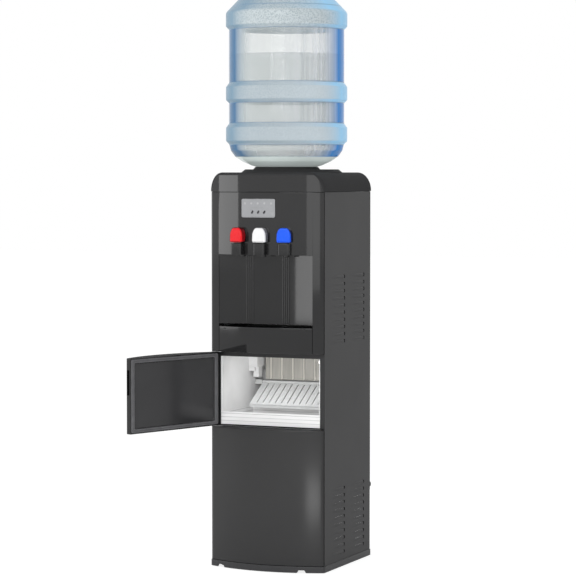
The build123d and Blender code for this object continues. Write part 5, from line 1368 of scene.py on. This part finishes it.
# ---- top cover and bottle seat
cover = {
    "half": 151.5, "back": 150.5, "low": 920.0, "high": 966.5, "shoulderX": 36.5, "shoulderZ": 45.5, "edge": 6.0,
    "corner": 10.0, "overhang": 1.5, "baseRadius": 125.0, "topRadius": 115.5, "platform": 974.0, "hole": 70.5,
    "steps": 20, "sealTuck": 2.5, "platformLow": 960.0, "drumLow": 900.0, "drumHigh": 990.0, "rounding": 0.4,
    "rooms": ((-5.0, 12.0, 4.0, 3.0), (8.0, 30.0, 15.0, 4.0)),  # low, high, side and front wall of the hollows
}
seat = {
    "y": -32.0, "foot": 82.5, "rim": 77.0, "rimIn": 74.5, "top": 980.0, "wellTop": 958.0, "well": 32.0, "floor": 905.0,
    "wall": 2.5, "probe": 8.0, "bore": 5.0, "probeTop": 950.0, "flange": 68.0, "ledge": 974.0,
}


def topCover():
    v = Values(**cover)
    rings = []
    heights = [(v.low, 0.4), (v.low + 0.4, 0.0)]
    heights += [(v.high - v.shoulderZ * (1 - sin(a)), None) for a in quarter(v.steps, 1)]
    for height, tuck in heights:
        if tuck is None:
            share = (height - (v.high - v.shoulderZ)) / v.shoulderZ
            half = v.half - v.shoulderX * (1 - sqrt(max(0.0, 1 - share ** 2)))
            over = max(0.0, height - (v.high - v.edge))
            tuck = v.edge - sqrt(max(0.0, v.edge ** 2 - over ** 2))
        else:
            half = v.half - tuck
        loop = planLoop(half, v.back - tuck * 0.4, tuck - v.overhang, v.corner - min(tuck, 4.0))
        rings.append(level(loop, height))
    lid = loft("lid", rings)
    for low, high, wall, skin in v.rooms:
        cut(lid, moulding("room", v.low + low, v.low + high, v.half - wall, v.back - wall, skin, 7.0, 1.0))
    disc = eased([(1.0, v.platformLow), (1.0, v.platform), (v.topRadius, v.platform), (v.baseRadius, v.high),
                  (v.baseRadius + 0.6, v.platformLow)], [0, 0, 2.4, 1.2, 0])
    step = turned("step", disc, sides=160)
    for part in (lid, step):
        cut(part, rod("drum", (0, seat["y"], v.drumLow), (0, seat["y"], v.drumHigh), v.hole, 128))
    made = rounded(joined("topCover", lid, step), v.rounding, 2, 70)
    half, back, under = v.half - v.sealTuck, v.back - v.sealTuck, front["fasciaHigh"]
    seal = moulding("seal", under + 0.05, v.low + 0.6, half, back, v.sealTuck - v.overhang, 8.0, 0.3)
    core = moulding("core", under - 5, v.low + 5, half - 3, back - 3, v.sealTuck - v.overhang + 3, 5.0, 0.3)
    made = joined("topCover", made, cut(seal, core))
    return dressed(made, "glossBlack", "top_cover", smooth=32.0, matteWhere=coverMatte)


def bottleSeat():
    v = Values(**seat)
    outside, under = v.well + v.wall, v.floor - v.wall
    shape = eased([(v.foot, v.ledge), (v.rim, v.top), (v.rimIn, v.top), (v.well, v.wellTop), (v.well, v.floor),
                   (v.probe, v.floor), (v.probe, v.probeTop), (v.bore, v.probeTop), (v.bore, under), (outside, under),
                   (outside, v.wellTop - v.wall), (v.flange, v.ledge)],
                  [0, 1.0, 1.0, 6.0, 2.0, 2.0, 1.0, 0.6, 0, 1.5, 5.0, 0], 5, closed=True)
    made = turned("bottleSeat", shape, v.y, 144)
    return dressed(made, "frameBlack", "bottle_seat", smooth=40.0, matteWhere=facesUp)


topCover()
bottleSeat()
print("top cover and seat done")


# ---- bottle, its cap and the water
bottle = {
    "y": -32.0, "wall": 1.8, "sides": 192, "waterLine": 1254.5, "waterLow": 952.5, "waterGap": 0.3, "middle": 0.02,
    "capRadius": 29.65, "capLow": 909.9, "capHigh": 938.0, "capHole": 8.6, "capWall": 2.0,
    "meniscus": ((0.0, 0.2), (0.8, 0.9), (3.0, 1.6)), "surfaceRadius": 60.0, "surfaceFall": 1.8,
}
bottleSide = [  # radius, height, rounding
    (27.5, 912.0, 0.0), (27.5, 960.5, 3.0), (74.5, 980.3, 3.0), (86.5, 983.5, 5.0), (108.5, 993.0, 12.0),
    (126.5, 1005.0, 12.0), (137.3, 1020.0, 12.0), (141.5, 1036.0, 5.0), (149.0, 1043.6, 4.0), (149.0, 1076.0, 4.0),
    (141.5, 1086.0, 4.0), (141.5, 1136.6, 4.0), (149.0, 1144.0, 4.0), (149.0, 1175.6, 4.0), (141.5, 1185.5, 4.0),
    (141.5, 1316.0, 4.0), (149.0, 1324.0, 4.0),
    (149.0, 1357.0, 12.0), (121.5, 1385.5, 6.0), (119.0, 1388.0, 2.0), (96.0, 1388.0, 2.5), (87.0, 1380.0, 3.0),
    (0.02, 1380.0, 0.0),
]


def bottleProfile():
    return eased([(r, z) for r, z, _ in bottleSide], [e for _, _, e in bottleSide], 7)


def bottleShell():
    v = Values(**bottle)
    outer = bottleProfile()
    inner = [(max(v.middle, r), z) for r, z in shifted(outer, v.wall)]
    made = turned("waterBottle", outer + inner[::-1], v.y, v.sides)
    return dressed(made, "bottle", "water_bottle", "bottle", smooth=60.0)


def bottleWater():
    v = Values(**bottle)
    inner = shifted(bottleProfile(), v.wall + v.waterGap)
    wall = [(r, z) for r, z in inner if v.waterLow < z < v.waterLine and r > 20]
    lowR, highR = wall[0][0], wall[-1][0]
    path = [(v.middle, v.waterLow), (lowR, v.waterLow)] + wall
    path += [(highR - inward, v.waterLine - fall) for inward, fall in v.meniscus]
    path += [(r, v.waterLine - v.surfaceFall) for r in (v.surfaceRadius, v.middle)]
    made = turned("bottleWater", path, v.y, v.sides, closed=False)
    return dressed(made, "water", "bottle_water", "bottle", smooth=60.0)


def bottleCap():
    v = Values(**bottle)
    inner, floor = v.capRadius - v.capWall, v.capLow + v.capWall
    shape = eased([(v.capHole, v.capLow), (v.capRadius, v.capLow), (v.capRadius, v.capHigh), (inner, v.capHigh),
                   (inner, floor), (v.capHole, floor)], [0.4, 1.2, 0.6, 0.6, 0.4, 0.4], 4, closed=True)
    made = turned("bottleCap", shape, v.y, 96)
    return dressed(made, "capBlue", "bottle_cap", "bottle")


bottleShell()
bottleWater()
bottleCap()
print("bottle done")


# ---- tanks, tubes, compressor, condenser, back
for row in (
    ("cold_tank", "steel", "tank_steel", 0.3),
    ("tank_insulation", "beadFoam", "white_foam", 0),
    ("tank_shelf", "zinc", "zinc_sheet", 0.3),
    ("hot_tank", "steel", "tank_steel", 0),
    ("heater_band", "aluminium", "heater", 0.3),
    ("water_tubes", "silicone", "silicone", 0),
    ("compressor", "blackPaint", "compressor_black", 0.6),
    ("compressor_mounts", "footRubber", "foot_rubber", 0.8),
    ("condenser_tube", "blackPaint", "condenser_black", 0),
    ("condenser_brackets", "zinc", "back_sheet", 0.3),
    ("cord_gland", "drainBlack", "drain_plastic", 0.4),
    ("drain_outlets", "drainBlack", "drain_plastic", 0.5),
    ("switch_housings", "switchBlack", "switch_black", 0.3),
    ("rocker_cooling", "leverBlue", "lever_blue", 0.3, "rocker_cooling"),
    ("rocker_heating", "leverRed", "lever_red", 0.3, "rocker_heating"),
):
    softened(*row)

grid = {"y": 164.0, "low": 300.0, "high": 824.0, "pitch": 10.5, "count": 21, "half": 0.75, "offset": 3.25}
rear = {
    "y": 150.0, "columnX": 143.0, "rows": 4, "low": 190.0, "pitch": 233.0, "sheetEdge": 0.25, "slot": (2.0, 0.35),
    "slotFloor": 0.5, "head": ((0.01, 1.5), (1.6, 1.45), (2.8, 1.15), (3.6, 0.3), (3.6, -0.1), (0.01, -0.1)),
}


def condenserWires():
    v = Values(**grid)
    wire = rod("wire", (0, 0, v.low), (0, 0, v.high), v.half, 10)
    first = -v.pitch * (v.count - 1) / 2
    wires = repeated("condenserWires", wire, "blackPaint", (first, v.y - v.offset, 0), (v.pitch, 0, 0), v.count,
                     (0, 2 * v.offset, 0), 2)
    return dressed(wires, "blackPaint", "condenser_wires")


def screwPiece():
    # pan head with a cross recess
    v = Values(**rear)
    head = turned("head", v.head, sides=24, closed=False)
    for a, b in (v.slot, v.slot[::-1]):
        cut(head, box("slot", (-a, -b, v.slotFloor), (a, b, 3.0)))
    return moved(head, Matrix.Rotation(radians(-90), 4, "X"))


def backPanel():
    v = Values(**rear)
    made = tidyMesh(added("backPanel", nodes["back_panel"].data.copy()), 2e-6)
    rounded(made, v.sheetEdge)
    screws = repeated("screws", screwPiece(), "hingeSteel", (-v.columnX, v.y, v.low), (2 * v.columnX, 0, 0), 2,
                      (0, 0, v.pitch), v.rows)
    dressed(made, "backZinc", "back_panel")
    return dressed(screws, "hingeSteel")


condenserWires()
backPanel()
print("back and inside done")


# ---- stage, light and camera
stageSet = {"floorSize": 40.0, "floorGlow": 0.68, "floorLight": 1.22, "worldSoft": 0.78, "iceDrop": 0.045}


def whiteStage():
    # full white for the camera and in mirrors, softer as light
    world = bpy.data.worlds.new("studio")
    bpy.context.scene.world = world
    f = Finish("studio", world)
    rays = f.node("ShaderNodeLightPath").socket.node.outputs
    seen = Signal(f, rays["Is Camera Ray"])
    for name in ("Is Glossy Ray", "Is Transmission Ray"):
        seen = seen.larger(Signal(f, rays[name]))
    power = f.node("ShaderNodeMapRange", inputs={"To Min": stageSet["worldSoft"], "To Max": 1.0, "Value": seen})
    sky = f.node("ShaderNodeBackground", inputs={"Color": (1, 1, 1, 1), "Strength": power})
    f.node("ShaderNodeOutputWorld", inputs={"Surface": sky})


def paleFloor():
    v = Values(**stageSet)
    half = v.floorSize / 2
    floor = meshObject("floor", [(x, y, 0) for x, y in ((-half, -half), (half, -half), (half, half), (-half, half))],
                       [(0, 1, 2, 3)])
    f = Finish("pale_floor")
    path = f.node("ShaderNodeLightPath", output="Is Camera Ray")
    cloud = f.noise(400, 2.0)
    shader = f.node("ShaderNodeBsdfDiffuse", inputs={"Color": f.blend(grey(0.90), grey(0.93), cloud)})
    light = f.node("ShaderNodeEmission", inputs={"Color": (1, 1, 1, 1), "Strength": v.floorLight})
    mixed = f.node("ShaderNodeMixShader", inputs={0: path * v.floorGlow, 1: shader, 2: light})
    f.node("ShaderNodeOutputMaterial", inputs={"Surface": mixed})
    floor.data.materials.append(f.material)


def softbox(name, place, aim, width, height, power, mirrored=True):
    lamp = bpy.data.lights.new(name, "AREA")
    lamp.shape = "RECTANGLE"
    lamp.size, lamp.size_y = width, height
    lamp.energy = power
    made = added(name, lamp)
    made.location = place
    made.rotation_mode = "QUATERNION"
    made.rotation_quaternion = (Vector(aim) - Vector(place)).to_track_quat("-Z", "Y")
    made.visible_camera = False
    made.visible_glossy = mirrored


whiteStage()
paleFloor()
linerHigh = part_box("ice_liner")[1]
lamps = {  # place, aim, width, height, power
    "boxLight": ((-2.54, -1.823, 1.38), (0, -0.15, 1.38), 1.10, 1.96, 17.4),
    "stripLight": ((1.35, -3.6, 1.3), (0, -0.15, 1.3), 0.75, 1.6, 3.9),
    "glowLight": ((0.325, -0.726, 0.10), (0, -0.15, 0.10), 0.15, 0.11, 0.17),
    "frontLight": ((0.35, -3.1, 1.75), (0.0, 0.0, 0.45), 1.6, 1.2, 38.0),
    "sillLight": ((0.0, -0.33, 0.435), (0.0, -0.15, 0.364), 0.30, 0.03, 0.052, False),
    "iceLight": ((-0.02, -0.11, linerHigh[2] - stageSet["iceDrop"]), (0.0, 0.02, 0.40), 0.10, 0.05, 0.11),
}
for name, row in lamps.items():
    softbox(name, *row)

view = {"place": (2.32968991, -5.36891106, 0.967136276), "turn": 23.54989536, "tilt": 2.80717998, "lens": 147.683778}
camera = bpy.data.cameras.new("camera")
camera.sensor_width = 36.0
camera.lens = view["lens"]
camera.clip_end = 100.0
cameraObject = added("camera", camera)
cameraObject.location = view["place"]
cameraObject.rotation_euler = (radians(90 - view["tilt"]), 0, radians(view["turn"]))
bpy.context.scene.camera = cameraObject
bpy.context.scene.view_settings.view_transform = "Standard"
print("stage done")
